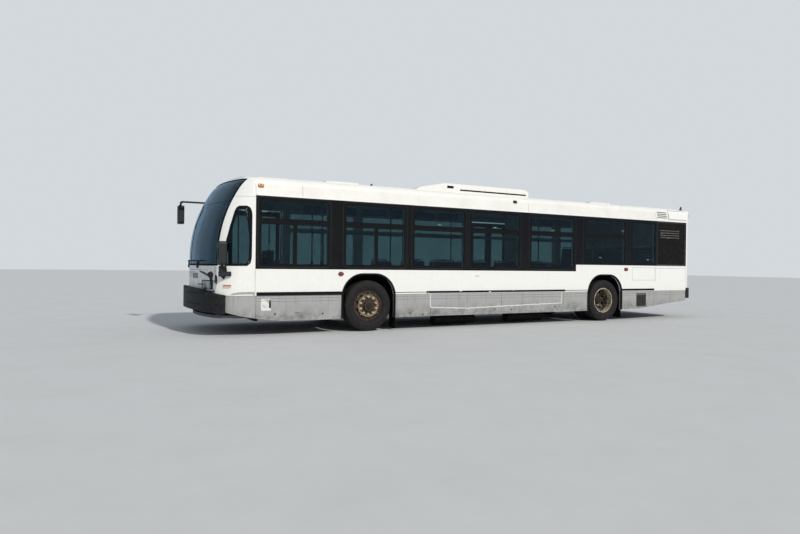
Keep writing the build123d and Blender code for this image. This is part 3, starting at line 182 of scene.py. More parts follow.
def safetyGlass(name, finish):
    # float glass tinted in the melt and toughened: darker the deeper one looks, a hard clear face, and a thin
    # uneven film of dust that takes the edge off the reflections
    material, tree, shader, place = newMaterial(name, finish["tint"], 0.02, 0.0, {
        "Transmission Weight": finish["clear"], "IOR": finish["index"], "Specular IOR Level": 0.5,
        "Coat Weight": 0.5, "Coat Roughness": 0.02})
    film = addNode(tree, "TexNoise", {"Vector": place, "Scale": 1000 / 240, "Detail": 6.0})
    tone = addNode(tree, "ValToRGB", {"Fac": film}, [(0.35, hexToLinear(finish["tint"])),
                                                     (0.8, hexToLinear(finish["tint"], 0.84))])
    haze = addNode(tree, "MapRange", {"Value": film, "From Min": 0.4, "From Max": 0.8, "To Min": 0.01,
                                      "To Max": 0.09})
    wire(tree, shader, colour=tone, roughness=haze)
    return material


def mouldedLens(name, colour, ribs):
    # acrylic moulded against a ribbed tool: clear deep colour, bright skin, and prism ribs "ribs" millimetres
    # apart, drawn coarser than the real 2 mm so that they show
    material, tree, shader, place = newMaterial(name, colour, 0.3, 0.0, {
        "Coat Weight": 0.3, "Coat Roughness": 0.12})
    bandsPerMetre = 3.15  # that the wave node draws at scale 1, near enough
    prisms = addNode(tree, "TexWave", {"Vector": place, "Scale": 1000 / ribs / bandsPerMetre,
                                       "Distortion": 0.0}, bands_direction="Z")
    tone = addNode(tree, "ValToRGB", {"Fac": prisms.outputs["Fac"]}, [(0.2, hexToLinear(colour, 0.7)),
                                                                      (0.9, hexToLinear(colour))])
    press = addNode(tree, "Bump", {"Height": prisms.outputs["Fac"], "Distance": 0.001, "Strength": 0.4})
    wire(tree, shader, colour=tone, normal=press)
    return material


def wovenCloth(name, finish):
    # flat woven moquette: threads "thread" millimetres apart cross over and under, which gives a dull soft
    # face with a faint square grain; drawn at twice the real 1.5 mm to show, flecked with a lighter yarn
    material, tree, shader, place = newMaterial(name, finish["ground"], 0.85, 0.0, {
        "Sheen Weight": 0.35, "Sheen Roughness": 0.5})
    weave = []
    threadsPerMetre = 6.28  # at scale 1, where a light and a dark band stand for two threads
    for direction in ("X", "Y"):
        scale = 1000 / finish["thread"] / threadsPerMetre
        threads = addNode(tree, "TexWave", {"Vector": place, "Scale": scale, "Distortion": 0.4},
                          bands_direction=direction)
        weave.append(threads.outputs["Fac"])
    crossing = addNode(tree, "Math", {0: weave[0], 1: weave[1]}, operation="MULTIPLY")
    flecks = addNode(tree, "TexVoronoi", {"Vector": place, "Scale": 1000 / finish["fleckSpacing"]})
    share = addNode(tree, "ValToRGB", {"Fac": flecks}, [(0.16, 1.0), (0.24, 0.0)])
    tone = addNode(tree, "Mix", {0: share, 6: hexToLinear(finish["ground"]), 7: hexToLinear(finish["fleck"])},
                   data_type="RGBA")
    shade = addNode(tree, "MapRange", {"Value": crossing, "To Min": 0.75, "To Max": 1.0})
    final = addNode(tree, "Mix", {0: 1.0, 6: tone.outputs[2], 7: shade}, data_type="RGBA",
                    blend_type="MULTIPLY")
    press = addNode(tree, "Bump", {"Height": crossing, "Distance": 0.0006, "Strength": 0.7})
    wire(tree, shader, colour=final.outputs[2], normal=press)
    return material


def wheelSteel(name, finish):
    # pressed steel disc, once painted: brown rust and baked brake dust over it, with pale chips where the
    # paint has flaked off in spots 10 to 30 mm wide
    material, tree, shader, place = newMaterial(name, finish["ground"], 0.72, 0.15)
    rust = addNode(tree, "TexNoise", {"Vector": place, "Scale": 1000 / 55, "Detail": 6.0})
    tone = addNode(tree, "ValToRGB", {"Fac": rust}, [(0.32, hexToLinear(finish["ground"])),
                                                     (0.66, hexToLinear(finish["rust"]))])
    chips = addNode(tree, "TexNoise", {"Vector": place, "Scale": 1000 / finish["chip"], "Detail": 4.0,
                                       "Roughness": 0.7})
    share = addNode(tree, "ValToRGB", {"Fac": chips}, [(finish["chipFrom"], 0.0),
                                                       (finish["chipFrom"] + 0.05, 0.85)])
    final = addNode(tree, "Mix", {0: share, 6: tone, 7: hexToLinear(finish["pale"])}, data_type="RGBA")
    press = addNode(tree, "Bump", {"Height": rust, "Distance": 0.0012, "Strength": 0.8})
    wire(tree, shader, colour=final.outputs[2], normal=press)
    return material


# paints
whitePaint = coachPaint("sprayedWhiteCoachEnamel", {
    "clean": "#f6f6f2", "dirt": "#aca496", "rough": 0.30, "coat": 0.35, "patch": 420, "dirtFoot": 0.3,
    "dirtTop": 1.05, "dirtShare": 0.36, "streak": 70, "streakShare": 0.07, "wave": 0.35})
roofPaint = coachPaint("weatheredWhiteRoofEnamel", {
    "clean": "#f3f2ed", "dirt": "#a19a8b", "rough": 0.42, "coat": 0.1, "patch": 380, "dirtFoot": 2.2,
    "dirtTop": 3.6, "dirtShare": 0.22, "streak": 90, "streakShare": 0.16, "wave": 0.3})
skirtPaint = coachPaint("sprayedGreySkirtEnamel", {
    "clean": "#a9aaa8", "dirt": "#55534f", "rough": 0.42, "coat": 0.1, "patch": 200, "dirtFoot": 0.26,
    "dirtTop": 0.62, "dirtShare": 0.85, "streak": 46, "streakShare": 0.34, "wave": 0.55})
fasciaPaint = coachPaint("scuffedWhiteNoseEnamel", {
    "clean": "#eff0ef", "dirt": "#969797", "rough": 0.4, "coat": 0.15, "patch": 150, "dirtFoot": 0.6,
    "dirtTop": 1.6, "dirtShare": 0.65, "streak": 60, "streakShare": 0.3, "wave": 0.7})
bandPaint = coachPaint("satinCharcoalBandEnamel", {
    "clean": "#0e0f11", "dirt": "#2b2a2a", "rough": 0.40, "coat": 0.0, "patch": 300, "dirtFoot": 1.0,
    "dirtTop": 2.6, "dirtShare": 0.30, "streak": 60, "streakShare": 0.14, "wave": 0.2, "specular": 0.15})
leafPaint = coachPaint("satinBlackDoorEnamel", {
    "clean": "#1b1b1e", "dirt": "#4d4a46", "rough": 0.36, "coat": 0.2, "patch": 260, "dirtFoot": 0.3,
    "dirtTop": 1.6, "dirtShare": 0.4, "streak": 50, "streakShare": 0.12, "wave": 0.2})
chassisPaint = grainedFinish("brushedBlackChassisPaint", {
    "base": "#0f0f10", "speck": "#2e2823", "grain": 110, "share": 0.7, "rough": 0.62, "depth": 0.5,
    "specular": 0.2})
grillePanel = grainedFinish("dustyBrownBlackGrillePaint", {  # bronze-black paint under fine exhaust dust
    "base": "#0d0b0c", "speck": "#231f1e", "grain": 60, "rough": 0.6, "depth": 0.2, "specular": 0.15})
louvrePaint = grainedFinish("dustyGreyLouvrePaint", {  # blade edges catch dust and read mid grey
    "base": "#645e58", "speck": "#7d776f", "grain": 45, "rough": 0.65, "depth": 0.2})
framePaint = grainedFinish("satinWindowFramePaint", {  # powder coat on aluminium, lighter than the band
    "base": "#26262a", "speck": "#424246", "grain": 12, "share": 0.5, "rough": 0.42, "depth": 0.15,
    "specular": 0.3})

# rubbers: carbon-black compounds; moulded ones show a coarse bloom, extruded ones a smooth dull skin
bumperRubber = grainedFinish("mouldedBumperRubber", {
    "base": "#18181a", "speck": "#3a3937", "grain": 38, "share": 0.55, "rough": 0.55, "depth": 0.6,
    "specular": 0.3})
trimRubber = grainedFinish("extrudedTrimRubber", {
    "base": "#0d0d0e", "speck": "#232120", "grain": 17, "share": 0.6, "rough": 0.6, "depth": 0.3,
    "specular": 0.15})
tyreRubber = grainedFinish("roadWornTyreRubber", {
    "base": "#1c1a1b", "speck": "#3d3733", "grain": 48, "share": 0.5, "rough": 0.68, "depth": 0.5,
    "specular": 0.3})

# metals
rustySteel = wheelSteel("rustedWheelSteel", {
    "ground": "#261d1a", "rust": "#43332a", "pale": "#b3a184", "chip": 21, "chipFrom": 0.62})
dustyRim = wheelSteel("dustyRearWheelSteel", {
    "ground": "#332a25", "rust": "#66594b", "pale": "#cfc4ac", "chip": 85, "chipFrom": 0.56})
nutSteel = wheelSteel("chippedWheelNutSteel", {
    "ground": "#6a5543", "rust": "#a48b6b", "pale": "#e6d8b8", "chip": 9, "chipFrom": 0.43})
chippedRing = wheelSteel("chippedHubRingSteel", {
    "ground": "#3a2d26", "rust": "#6a5643", "pale": "#c6b592", "chip": 13, "chipFrom": 0.51})
creamRim = wheelSteel("creamRimEnamel", {
    "ground": "#6f6757", "rust": "#9d947d", "pale": "#d2cab3", "chip": 36, "chipFrom": 0.49})
castIron = grainedFinish("rustedCastIron", {  # sand-cast: pimpled skin, dry brown rust on dark iron
    "base": "#2b2623", "speck": "#4a382d", "grain": 45, "share": 0.8, "rough": 0.8, "metal": 0.25,
    "depth": 0.9})
stainless = grainedFinish("brushedStainlessTube", {  # satin belt finish: soft bright streak, no mirror
    "base": "#c2c4c3", "speck": "#9b9d9c", "grain": 14, "share": 0.5, "rough": 0.3, "metal": 0.95,
    "depth": 0.05})
aluminium = grainedFinish("satinAnodisedAluminium", {  # extruded and anodised: even grey, faint die lines
    "base": "#a6a8a8", "speck": "#85878a", "grain": 25, "share": 0.5, "rough": 0.38, "metal": 0.9,
    "depth": 0.08})
meshMetal = grainedFinish("paintedExpandedMetal", {
    "base": "#3b3a38", "speck": "#6a645c", "grain": 22, "share": 0.7, "rough": 0.7, "metal": 0.2,
    "depth": 0.5})

# plastics: injection moulded against a spark-eroded tool, which leaves an even fine grain
blackPlastic = grainedFinish("grainedBlackPlastic", {
    "base": "#18191b", "speck": "#303033", "grain": 8, "share": 0.5, "rough": 0.48, "depth": 0.15})
# also the colour of the painted shade under the skirt pressings
greyPlasticAndPressingShade = grainedFinish("greyMouldedPlastic", {
    "base": "#8f9294", "speck": "#717476", "grain": 25, "share": 0.5, "rough": 0.5, "depth": 0.2})
whitePlastic = grainedFinish("yellowedWhitePlastic", {
    "base": "#f0efe9", "speck": "#d6d2c8", "grain": 130, "share": 0.5, "rough": 0.45, "depth": 0.3})
seatShell = grainedFinish("blueSeatPlastic", {
    "base": "#2a3c5b", "speck": "#1d2a45", "grain": 35, "share": 0.5, "rough": 0.42, "depth": 0.2})
# pressed laminate: flat, pale, with a print of soft mottle
liningPanel = grainedFinish("paleLiningLaminate", {
    "base": "#c6c9c6", "speck": "#aeb1ae", "grain": 80, "share": 0.6, "rough": 0.5, "depth": 0.1})
floorVinyl = grainedFinish("flakedFloorVinyl", {  # calendered sheet with flakes 6 mm across, for grip
    "base": "#4c4f54", "speck": "#85888c", "grain": 7, "share": 0.7, "rough": 0.6, "depth": 0.3})
nosingYellow = grainedFinish("yellowStepNosing", {  # ribbed PVC edge strip, scuffed by shoes
    "base": "#c9a21c", "speck": "#6f5f2a", "grain": 30, "share": 0.7, "rough": 0.6, "depth": 0.3})
diffuser = grainedFinish("opalLampDiffuser", {  # opal acrylic sheet: milky, hides the tubes
    "base": "#e9ece9", "speck": "#d9dcd6", "grain": 60, "share": 0.5, "rough": 0.4, "depth": 0.1})
blankPoster = grainedFinish("blankBluePosterBoard", {  # plain coloured card in the ceiling frames
    "base": "#3c73cc", "speck": "#4a80d6", "grain": 90, "share": 0.5, "rough": 0.55, "depth": 0.05})
sealantWhite = grainedFinish("toothedWhiteSealant", {  # gunned bead, smeared by a finger: patchy white edge
    "base": "#f1f1ea", "speck": "#c8c8c0", "grain": 24, "share": 0.7, "rough": 0.55, "depth": 0.6})
tearOpeningShade = grainedFinish("brokenGlassFibreEdge", {  # painted shade of the openings behind the torn shell, flecked with grey fibre ends
    "base": "#26262a", "speck": "#5c5b5b", "grain": 14, "share": 0.5, "rough": 0.8, "depth": 0.8})

# glass, lenses and mirrors
sideGlassTint = safetyGlass("tintedSideGlass", {"tint": "#7b9599", "clear": 1.0, "index": 1.12})
screenGlassTint = safetyGlass("laminatedScreenGlass", {"tint": "#7fa0b2", "clear": 0.96, "index": 1.18})
amberLens = mouldedLens("amberAcrylicLens", "#d87a1c", 6)
brownLens = mouldedLens("fadedBrownRedLens", "#9a3f22", 6)
redLens = mouldedLens("redAcrylicLens", "#a81c12", 6)
clearLens = mouldedLens("clearRibbedLens", "#b7bdc0", 9)
# silvered float glass: bright, under a patchy film of dust
mirrorFace = grainedFinish("dustySilveredMirror", {
    "base": "#c8ccce", "speck": "#b4b7b8", "grain": 120, "share": 0.5, "rough": 0.03, "metal": 1.0,
    "depth": 0.01})
seatCloth = wovenCloth("wovenBlueMoquette", {
    "ground": "#26395c", "fleck": "#7d8aa0", "thread": 3, "fleckSpacing": 45})
driverCloth = wovenCloth("wovenGreyMoquette", {
    "ground": "#2c2d31", "fleck": "#55575d", "thread": 3, "fleckSpacing": 30})
print("materials ready")


# mesh helpers

def finishMesh(name, bm, material, body="body", bevel=0.0, smooth=False, angle=35):
    bmesh.ops.recalc_face_normals(bm, faces=bm.faces)
    mesh = bpy.data.meshes.new(name)
    bm.to_mesh(mesh)
    bm.free()
    piece = bpy.data.objects.new(name, mesh)
    bpy.context.scene.collection.objects.link(piece)
    mesh.materials.append(material)
    if smooth:
        for face in mesh.polygons:
            face.use_smooth = True
        mesh.set_sharp_from_angle(angle=math.radians(angle))
    if bevel:
        edge = piece.modifiers.new("edge", "BEVEL")
        edge.width = bevel
        edge.segments = 2
        edge.limit_method = "ANGLE"
    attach(piece, body)
    return piece


def boxInto(bm, low, high, turn=None):
    centre = [(a + b) / 2 for a, b in zip(low, high)]
    size = [abs(b - a) for a, b in zip(low, high)]
    matrix = Matrix.Translation(centre) @ (turn or Matrix.Identity(4)) @ Matrix.Diagonal((*size, 1.0))
    bmesh.ops.create_cube(bm, size=1.0, matrix=matrix)


def tubeInto(bm, start, end, radius, sides=16, radiusEnd=None):
    start, end = Vector(start), Vector(end)
    axis = end - start
    matrix = Matrix.Translation((start + end) / 2) @ axis.to_track_quat("Z", "Y").to_matrix().to_4x4()
    bmesh.ops.create_cone(bm, cap_ends=True, segments=sides, radius1=radius,
                          radius2=radius if radiusEnd is None else radiusEnd, depth=axis.length,
                          matrix=matrix)


def plainPiece(name, material, boxes=(), tubes=(), strips=(), lofts=(), **looks):
    # a piece that is made of plain forms alone
    bm = bmesh.new()
    for put, forms in ((boxInto, boxes), (tubeInto, tubes), (stripInto, strips), (loftInto, lofts)):
        for form in forms:
            put(bm, *form)
    finishMesh(name, bm, material, **looks)


def mirrored(forms):
    # the same boxes or tubes on both sides of the bus
    return [(*[(x, y * sign, z) for x, y, z in form[:2]], *form[2:]) for sign in (1, -1) for form in forms]


def loftInto(bm, loops, around=True, caps=(0, -1), closed=False):
    # faces from each loop of points to the next one; caps are the loops that get a face of their own
    rings = [[bm.verts.new(point) for point in loop] for loop in loops]
    for near, far in zip(rings, rings[1:] + rings[:1] if closed else rings[1:]):
        for i in range(len(near) if around else len(near) - 1):
            j = (i + 1) % len(near)
            bm.faces.new((near[i], near[j], far[j], far[i]))
    for end in () if closed else caps:
        bm.faces.new(rings[end])
    return rings


def circle(radius, count, first=0.0):
    angles = [2 * math.pi * (i + first) / count for i in range(count)]
    return [(radius * math.cos(a), radius * math.sin(a)) for a in angles]


def prismInto(bm, outline, y0, y1, holes=()):
    # a closed outline of (x, z) points, carried from y0 to y1, with holes cut through
    rings = []
    for y in (y0, y1):
        rings.append([[bm.verts.new((x, y, z)) for x, z in loop] for loop in (outline, *holes)])
    for layer in rings:
        edges = []
        for loop in layer:
            for i, vert in enumerate(loop):
                edges.append(bm.edges.new((vert, loop[(i + 1) % len(loop)])))
        bmesh.ops.triangle_fill(bm, use_beauty=True, use_dissolve=False, edges=edges)
    for near, far in zip(*rings):
        for i in range(len(near)):
            j = (i + 1) % len(near)
            bm.faces.new((near[i], near[j], far[j], far[i]))


def stripInto(bm, path, width, height, sink=0.0008, closed=False, taper=0.8):
    # a flat strip laid along (point, normal) pairs
    loops = []
    count = len(path)
    for i, (point, normal) in enumerate(path):
        before = path[i - 1][0] if i or closed else point
        after = path[(i + 1) % count][0] if i < count - 1 or closed else point
        side = (after - before).normalized().cross(normal).normalized()
        loops.append([point + side * (s * width / 2) + normal * h
                      for s, h in ((-1, -sink), (1, -sink), (taper, height), (-taper, height))])
    loftInto(bm, loops, closed=closed)


def roundedLoop(x0, x1, z0, z1, radius, steps=5):
    points = []
    corners = ((x1 - radius, z1 - radius, 0), (x0 + radius, z1 - radius, 90),
               (x0 + radius, z0 + radius, 180), (x1 - radius, z0 + radius, 270))
    for cx, cz, first in corners:
        for i in range(steps + 1):
            angle = math.radians(first + 90 * i / steps)
            points.append((cx + radius * math.cos(angle), cz + radius * math.sin(angle)))
    return points


def archLoop(x, half, top, radius, bottom, steps=14):
    # an arch outline from the rear foot over the top to the front foot
    points = [(x - half, bottom)]
    for cx, first in ((x - half + radius, 180), (x + half - radius, 90)):
        for i in range(steps + 1):
            angle = math.radians(first - 90 * i / steps)
            points.append((cx + radius * math.cos(angle), top - radius + radius * math.sin(angle)))
    points.append((x + half, bottom))
    return points


def latheInto(bm, profile, centre, steps=72):
    # profile of (distance along y, radius) turned about a line along y
    cx, cy, cz = centre
    loops = [[(cx + r * u, cy + a, cz + r * w) for a, r in profile] for u, w in circle(1, steps)]
    return loftInto(bm, loops, around=False, closed=True)


def surfaceOf(names):
    # the outside of some CAD nodes, for laying pieces on
    verts, faces = [], []
    for name in names:
        mesh = nodes[name].data
        base = len(verts)
        verts += [v.co.copy() for v in mesh.vertices]
        faces += [[base + i for i in p.vertices] for p in mesh.polygons]
    return BVHTree.FromPolygons(verts, faces)


def spread(points, step, closed=False):
    # the same outline with a point at least every step
    result = []
    pairs = list(zip(points, points[1:] + points[:1])) if closed else list(zip(points, points[1:]))
    for a, b in pairs:
        parts = max(1, math.ceil(math.dist(a, b) / step))
        result += [tuple(p + (q - p) * i / parts for p, q in zip(a, b)) for i in range(parts)]
    return result if closed else result + [points[-1]]


def layOn(tree, origins, aim, lift=0.0):
    # where rays from the origins meet the tree, with the normals there; the aim is one for all or a list
    path = []
    for origin, ray in zip(origins, aim if isinstance(aim, list) else [Vector(aim)] * len(origins)):
        spot, normal, _, _ = tree.ray_cast(Vector(origin), ray)
        if spot is not None:
            normal = normal if normal.dot(ray) < 0 else -normal
            path.append((spot + normal * lift, normal))
    return path


def flatPath(points, axis, at, facing):
    # points in a plane across an axis (0 is x, 1 is y, 2 is z), with the plane's normal
    normal = Vector([facing * (k == axis) for k in range(3)])
    return [(Vector((*point[:axis], at, *point[axis:])), normal) for point in points]


def sidePath(points, sign, y=sideY):
    # (x, z) points on one side of the bus
    return flatPath(points, 1, y * sign, sign)


def cross(a, b, count):
    # evenly spaced numbers from a to b
    return [a + (b - a) * i / (count - 1) for i in range(count)]


def photoPatch(name, tree, outline, material, lift, thick, step=0.7):
    # a thin plate whose outline is given in photo pixels, laid where those sight lines meet the body
    bm = bmesh.new()
    loop = spread(outline, step, True)
    verts = [bm.verts.new((px, py, 0)) for px, py in loop]
    edges = [bm.edges.new((v, verts[(i + 1) % len(verts)])) for i, v in enumerate(verts)]
    bmesh.ops.triangle_fill(bm, use_beauty=True, use_dissolve=False, edges=edges)
    bmesh.ops.subdivide_edges(bm, edges=[e for e in bm.edges if e.calc_length() > 2 * step], cuts=1)
    bmesh.ops.triangulate(bm, faces=bm.faces)
    eye = Vector(shot["place"])
    spots = {}
    for vert in bm.verts:
        spot, normal, _, _ = tree.ray_cast(eye, sightLine(vert.co.x, vert.co.y))
        if spot is None:
            spot, normal, _, _ = tree.find_nearest(eye + sightLine(vert.co.x, vert.co.y) * shot["toNose"])
        normal = normal if normal.dot(spot - eye) < 0 else -normal
        spots[vert] = (spot, normal)
    for vert, (spot, normal) in spots.items():
        vert.co = spot + normal * lift
    shell = bmesh.ops.extrude_face_region(bm, geom=bm.faces[:])
    outer = [v for v in shell["geom"] if isinstance(v, bmesh.types.BMVert)]
    for vert in outer:
        spot, normal, _, _ = tree.find_nearest(vert.co)
        normal = normal if normal.dot(vert.co - eye) < 0 else -normal
        vert.co = vert.co + normal * thick
    return finishMesh(name, bm, material)


# materials on the CAD nodes

nodeMaterials = {
    whitePaint: "side_wall_left side_wall_right front_cap front_corners rear_cap engine_door",
    roofPaint: "roof roof_pod",
    skirtPaint: "skirts",
    fasciaPaint: "front_fascia",
    bumperRubber: "bumper_front bumper_rear",
    grillePanel: "grilles",
    chassisPaint: "wheel_housings frame_rails cross_members air_tanks",
    castIron: "engine_block front_axle rear_axle knuckle_left knuckle_right tie_rod",
    rustySteel: "wheel_front_left wheel_front_right",
    dustyRim: "wheel_rear_left wheel_rear_right",
    tyreRubber: "tyre_front_left tyre_front_right tyres_rear_left tyres_rear_right",
    trimRubber: "mud_flaps",
    whitePlastic: "hatch_front hatch_rear",
    blackPlastic: "mirrors wipers dashboard steering_wheel",
    seatShell: "seats",
    liningPanel: "bulkhead",
    floorVinyl: "floor rear_platform",
    stainless: "handrails",
    screenGlassTint: "front_glass",
    clearLens: "headlamps",
    redLens: "tail_lamps",
    brownLens: "marker_lamps",
}
chosen = {name: material for material, names in nodeMaterials.items() for name in names.split()}
for name, node in nodes.items():
    rest = sideGlassTint if name.endswith("glass") else leafPaint if name.endswith("leaf") else aluminium
    node.data.materials.clear()
    node.data.materials.append(chosen.get(name, rest))
print("CAD nodes finished")


# window bands: a charcoal sheet over the wall with the panes cut out, and a seal round each pane

band = {
    "front": 5.287, "rear": -5.979, "bottom": 1.181, "stepX": -2.16, "stepBottom": 1.334, "top": 2.465,
    "thickness": 0.002, "sealWidth": 0.028, "sealHeight": 0.006, "unitGrow": 0.050, "unitWidth": 0.010,
}
window = {"transom": (1.985, 2.060), "top": 2.400, "radius": 0.040, "dividerHalf": 0.018}
leftWindows = [  # front edge, rear edge, sill, with a transom or not, middle of the upright bar
    (5.200, 3.940, 1.255, True, 4.570), (3.600, 2.338, 1.255, True, 2.955), (2.136, 0.937, 1.255, True, None),
    (0.775, -0.489, 1.255, True, None), (-0.823, -2.089, 1.255, True, None),
    (-2.431, -3.743, 1.383, True, None), (-3.985, -4.805, 1.383, False, None),
]
rightWindows = [
    (3.900, 2.338, 1.255, True, 3.120), (2.136, 0.937, 1.255, True, None), (0.775, -0.720, 1.255, True, None),
    (-2.431, -3.743, 1.383, True, None), (-3.985, -4.805, 1.383, False, None),
]


def paneLoops(windows, grow=0.0):
    loops = []
    radius = window["radius"] + grow
    for front, rear, sill, transom, divider in windows:
        top = window["transom"][0] if transom else window["top"]
        spans = [(rear, front, sill, top)]
        if divider:
            half = window["dividerHalf"]
            spans = [(rear, divider - half, sill, top), (divider + half, front, sill, top)]
        if transom:
            spans.append((rear, front, window["transom"][1], window["top"]))
        loops += [roundedLoop(x0 - grow, x1 + grow, z0 - grow, z1 + grow, radius) for x0, x1, z0, z1 in spans]
    return loops


def makeBand(name, windows, outline, sign, extraHoles=()):
    bm = bmesh.new()
    prismInto(bm, outline, (sideY + 0.0002) * sign, (sideY + band["thickness"]) * sign,
              paneLoops(windows, 0.001) + list(extraHoles))
    finishMesh("windowBand_" + name, bm, bandPaint)
    plainPiece("paneSeals_" + name, trimRubber, strips=[
        (sidePath(loop, sign), band["sealWidth"], band["sealHeight"], 0.003, True, 0.7)
        for loop in paneLoops(windows, -0.001)])
    grow = band["unitGrow"]
    units = [roundedLoop(rear - grow, front + grow, sill - grow * 0.8, window["top"] + grow, 0.085, 7)
             for front, rear, sill, _, _ in windows]
    plainPiece("windowUnits_" + name, framePaint, strips=[
        (sidePath(loop, sign), band["unitWidth"], 0.0042, 0.0005, True) for loop in units])


leftOutline = [(band["front"], band["bottom"]), (band["front"], band["top"]), (band["rear"], band["top"]),
               (band["rear"], band["stepBottom"]), (band["stepX"], band["stepBottom"]),
               (band["stepX"], band["bottom"])]
grilleHole = [(-5.942, 1.348), (-4.876, 1.348), (-4.876, 2.452), (-5.942, 2.452)]
makeBand("left", leftWindows, leftOutline, 1, [grilleHole])
for name, windows, x0, x1, z in (("right", rightWindows[:3], 4.056, -0.886, band["bottom"]),
                                 ("rightRear", rightWindows[3:], -2.134, band["rear"], band["stepBottom"])):
    makeBand(name, windows, [(x0, z), (x0, band["top"]), (x1, band["top"]), (x1, z)], -1)

# radiator panel: a folded frame, turn fasteners, and dusty edges on the louvre blades
grille = {"x": (-5.926, -4.892), "z": (1.364, 2.436), "fastenerZ": (1.410, 2.390),
          "louvreX": (-5.707, -4.980), "louvreZ": 2.040, "pitch": 0.058}
plainPiece("radiatorPanelFrame", framePaint,
           tubes=[((x, 1.297, z), (x, 1.3025, z), 0.011, 14, 0.009)
                  for x in grille["x"] for z in cross(*grille["fastenerZ"], 5)],
           strips=[(sidePath(roundedLoop(*grille["x"], *grille["z"], 0.012), 1), 0.024, 0.004, 0.0005, True)])
x0, x1 = grille["louvreX"]
blades = []
for z in [grille["louvreZ"] + i * grille["pitch"] for i in range(4)]:
    blades += [((x0, 1.2990, z + 0.0045), (x1, 1.3055, z + 0.0105)),
               ((x0 + 0.01, 1.2955, z + 0.010), (x1 - 0.01, 1.3000, z + 0.026))]
plainPiece("louvreEdges", louvrePaint, blades, bevel=0.0012)
print("window bands done")


# drip rails over the windows, rub rails, and lips round the wheel arches

plainPiece("dripRails", whitePaint, mirrored([((-5.975, 1.2945, 2.466), (5.285, 1.3030, 2.481)),
                                              ((-5.975, 1.2925, 2.481), (5.285, 1.2960, 2.492))]),
           bevel=0.0015)

rubRail = {"z": 0.741, "proud": 0.010, "back": 1.2935}
railRuns = {  # x from, x to, half height
    1: [(5.262, 3.648, 0.031), (2.552, 1.836, 0.006), (1.832, -1.833, 0.020), (-1.837, -2.552, 0.006),
        (-3.650, -4.790, 0.022)],
    -1: [(4.050, 3.648, 0.031), (2.552, -0.880, 0.020), (-2.140, -2.552, 0.006), (-3.650, -4.790, 0.022)],
}
rails = []
for sign, runs in railRuns.items():
    for x0, x1, half in runs:
        proud = rubRail["proud"] * (1 if half > 0.01 else 0.4)
        section = [(rubRail["back"], -half), (sideY + proud * 0.6, -half), (sideY + proud, -half * 0.55),
                   (sideY + proud * 0.75, 0.0), (sideY + proud, half * 0.55), (sideY + proud * 0.6, half),
                   (rubRail["back"], half)]
        rails.append(([[(x, y * sign, rubRail["z"] + dz) for y, dz in section] for x in (x0, x1)],))
plainPiece("rubRails", trimRubber, lofts=rails)

# the long rail on the photo's side is torn in four places: x, z, width, height
tears = ((1.02, 0.755, 0.055, 0.016), (0.28, 0.733, 0.050, 0.020), (-0.35, 0.757, 0.030, 0.012),
         (1.80, 0.722, 0.030, 0.014))
tilt = Matrix.Rotation(0.15, 4, "Y")
plainPiece("railScuffs", sealantWhite, [((x - w / 2, 1.3038, z - h / 2), (x + w / 2, 1.3062, z + h / 2), tilt)
                                        for x, z, w, h in tears])

archLip = {"half": 0.545, "top": 1.090, "radius": 0.42, "inside": -0.012, "outside": 0.023, "foot": 0.262,
           "back": 1.270, "face": 1.3045}
for axle, x in axles.items():
    for side, sign in bothSides:
        inner, outer = [archLoop(x, archLip["half"] + grow, archLip["top"] + grow, archLip["radius"] + grow,
                                 archLip["foot"]) for grow in (archLip["inside"], archLip["outside"])]
        bm = bmesh.new()
        prismInto(bm, outer + inner[::-1], archLip["back"] * sign, archLip["face"] * sign)
        finishMesh("archLip_" + axle + "_" + side, bm, trimRubber, bevel=0.004)
print("rails and arches done")


# panel joints: dark grooves a few millimetres wide, drawn as strips that lie on the paint

roofShape = {"eave": 2.465, "leanY": 1.262, "leanZ": 2.680, "corner": 0.150, "crownZ": 2.890,
             "crownRadius": 7.200}


def crownAt(y):
    # the height of the roof's shallow crown at y
    return roofShape["crownZ"] - roofShape["crownRadius"] + math.sqrt(roofShape["crownRadius"] ** 2 - y ** 2)


def roofPath(x, reach=sideY):
    # across the roof at x, as far as the reach on both sides: eave, lean, corner and crown
    leanY, leanZ = roofShape["leanY"], roofShape["leanZ"]
    crownY = leanY - roofShape["corner"] * 0.829
    half = [(sideY, roofShape["eave"]), (leanY, leanZ)]
    for bend in (math.pi * 0.175, math.pi * 0.35):
        half.append((leanY - (leanY - crownY) * (1 - math.cos(bend)),
                     leanZ + (crownAt(crownY) - leanZ) * math.sin(bend)))
    half += [(y, crownAt(y)) for y in cross(crownY, 0.0, 9)]
    whole = [(y, z) for y, z in half + [(-y, z) for y, z in half[:-1][::-1]] if abs(y) <= reach + 0.001]
    origins = [(x, y * 1.5 if abs(y) > 1.13 else y, z + 0.5 if abs(y) < 1.20 else z) for y, z in whole]
    return layOn(roofTree, origins, [Vector((0, y - o[1], z - o[2])).normalized()
                                     for (y, z), o in zip(whole, origins)])


roofTree = surfaceOf(["roof", "rear_cap", "front_cap"])
bodyTree = surfaceOf(["front_fascia", "front_corners", "headlamps", "skirts", "side_wall_left",
                      "side_wall_right", "front_cap", "roof", "rear_cap"])
joint = {"width": 0.005, "seam": 0.003, "height": 0.0004}
plainPiece("roofJoints", trimRubber, strips=[
    (roofPath(x, reach), width, joint["height"])
    for places, reach, width in (((5.288, 4.438, -0.756, -4.842, -5.979), sideY, joint["width"]),
                                 ((2.90, 1.96, -1.90, -2.95), 1.12, joint["seam"])) for x in places])

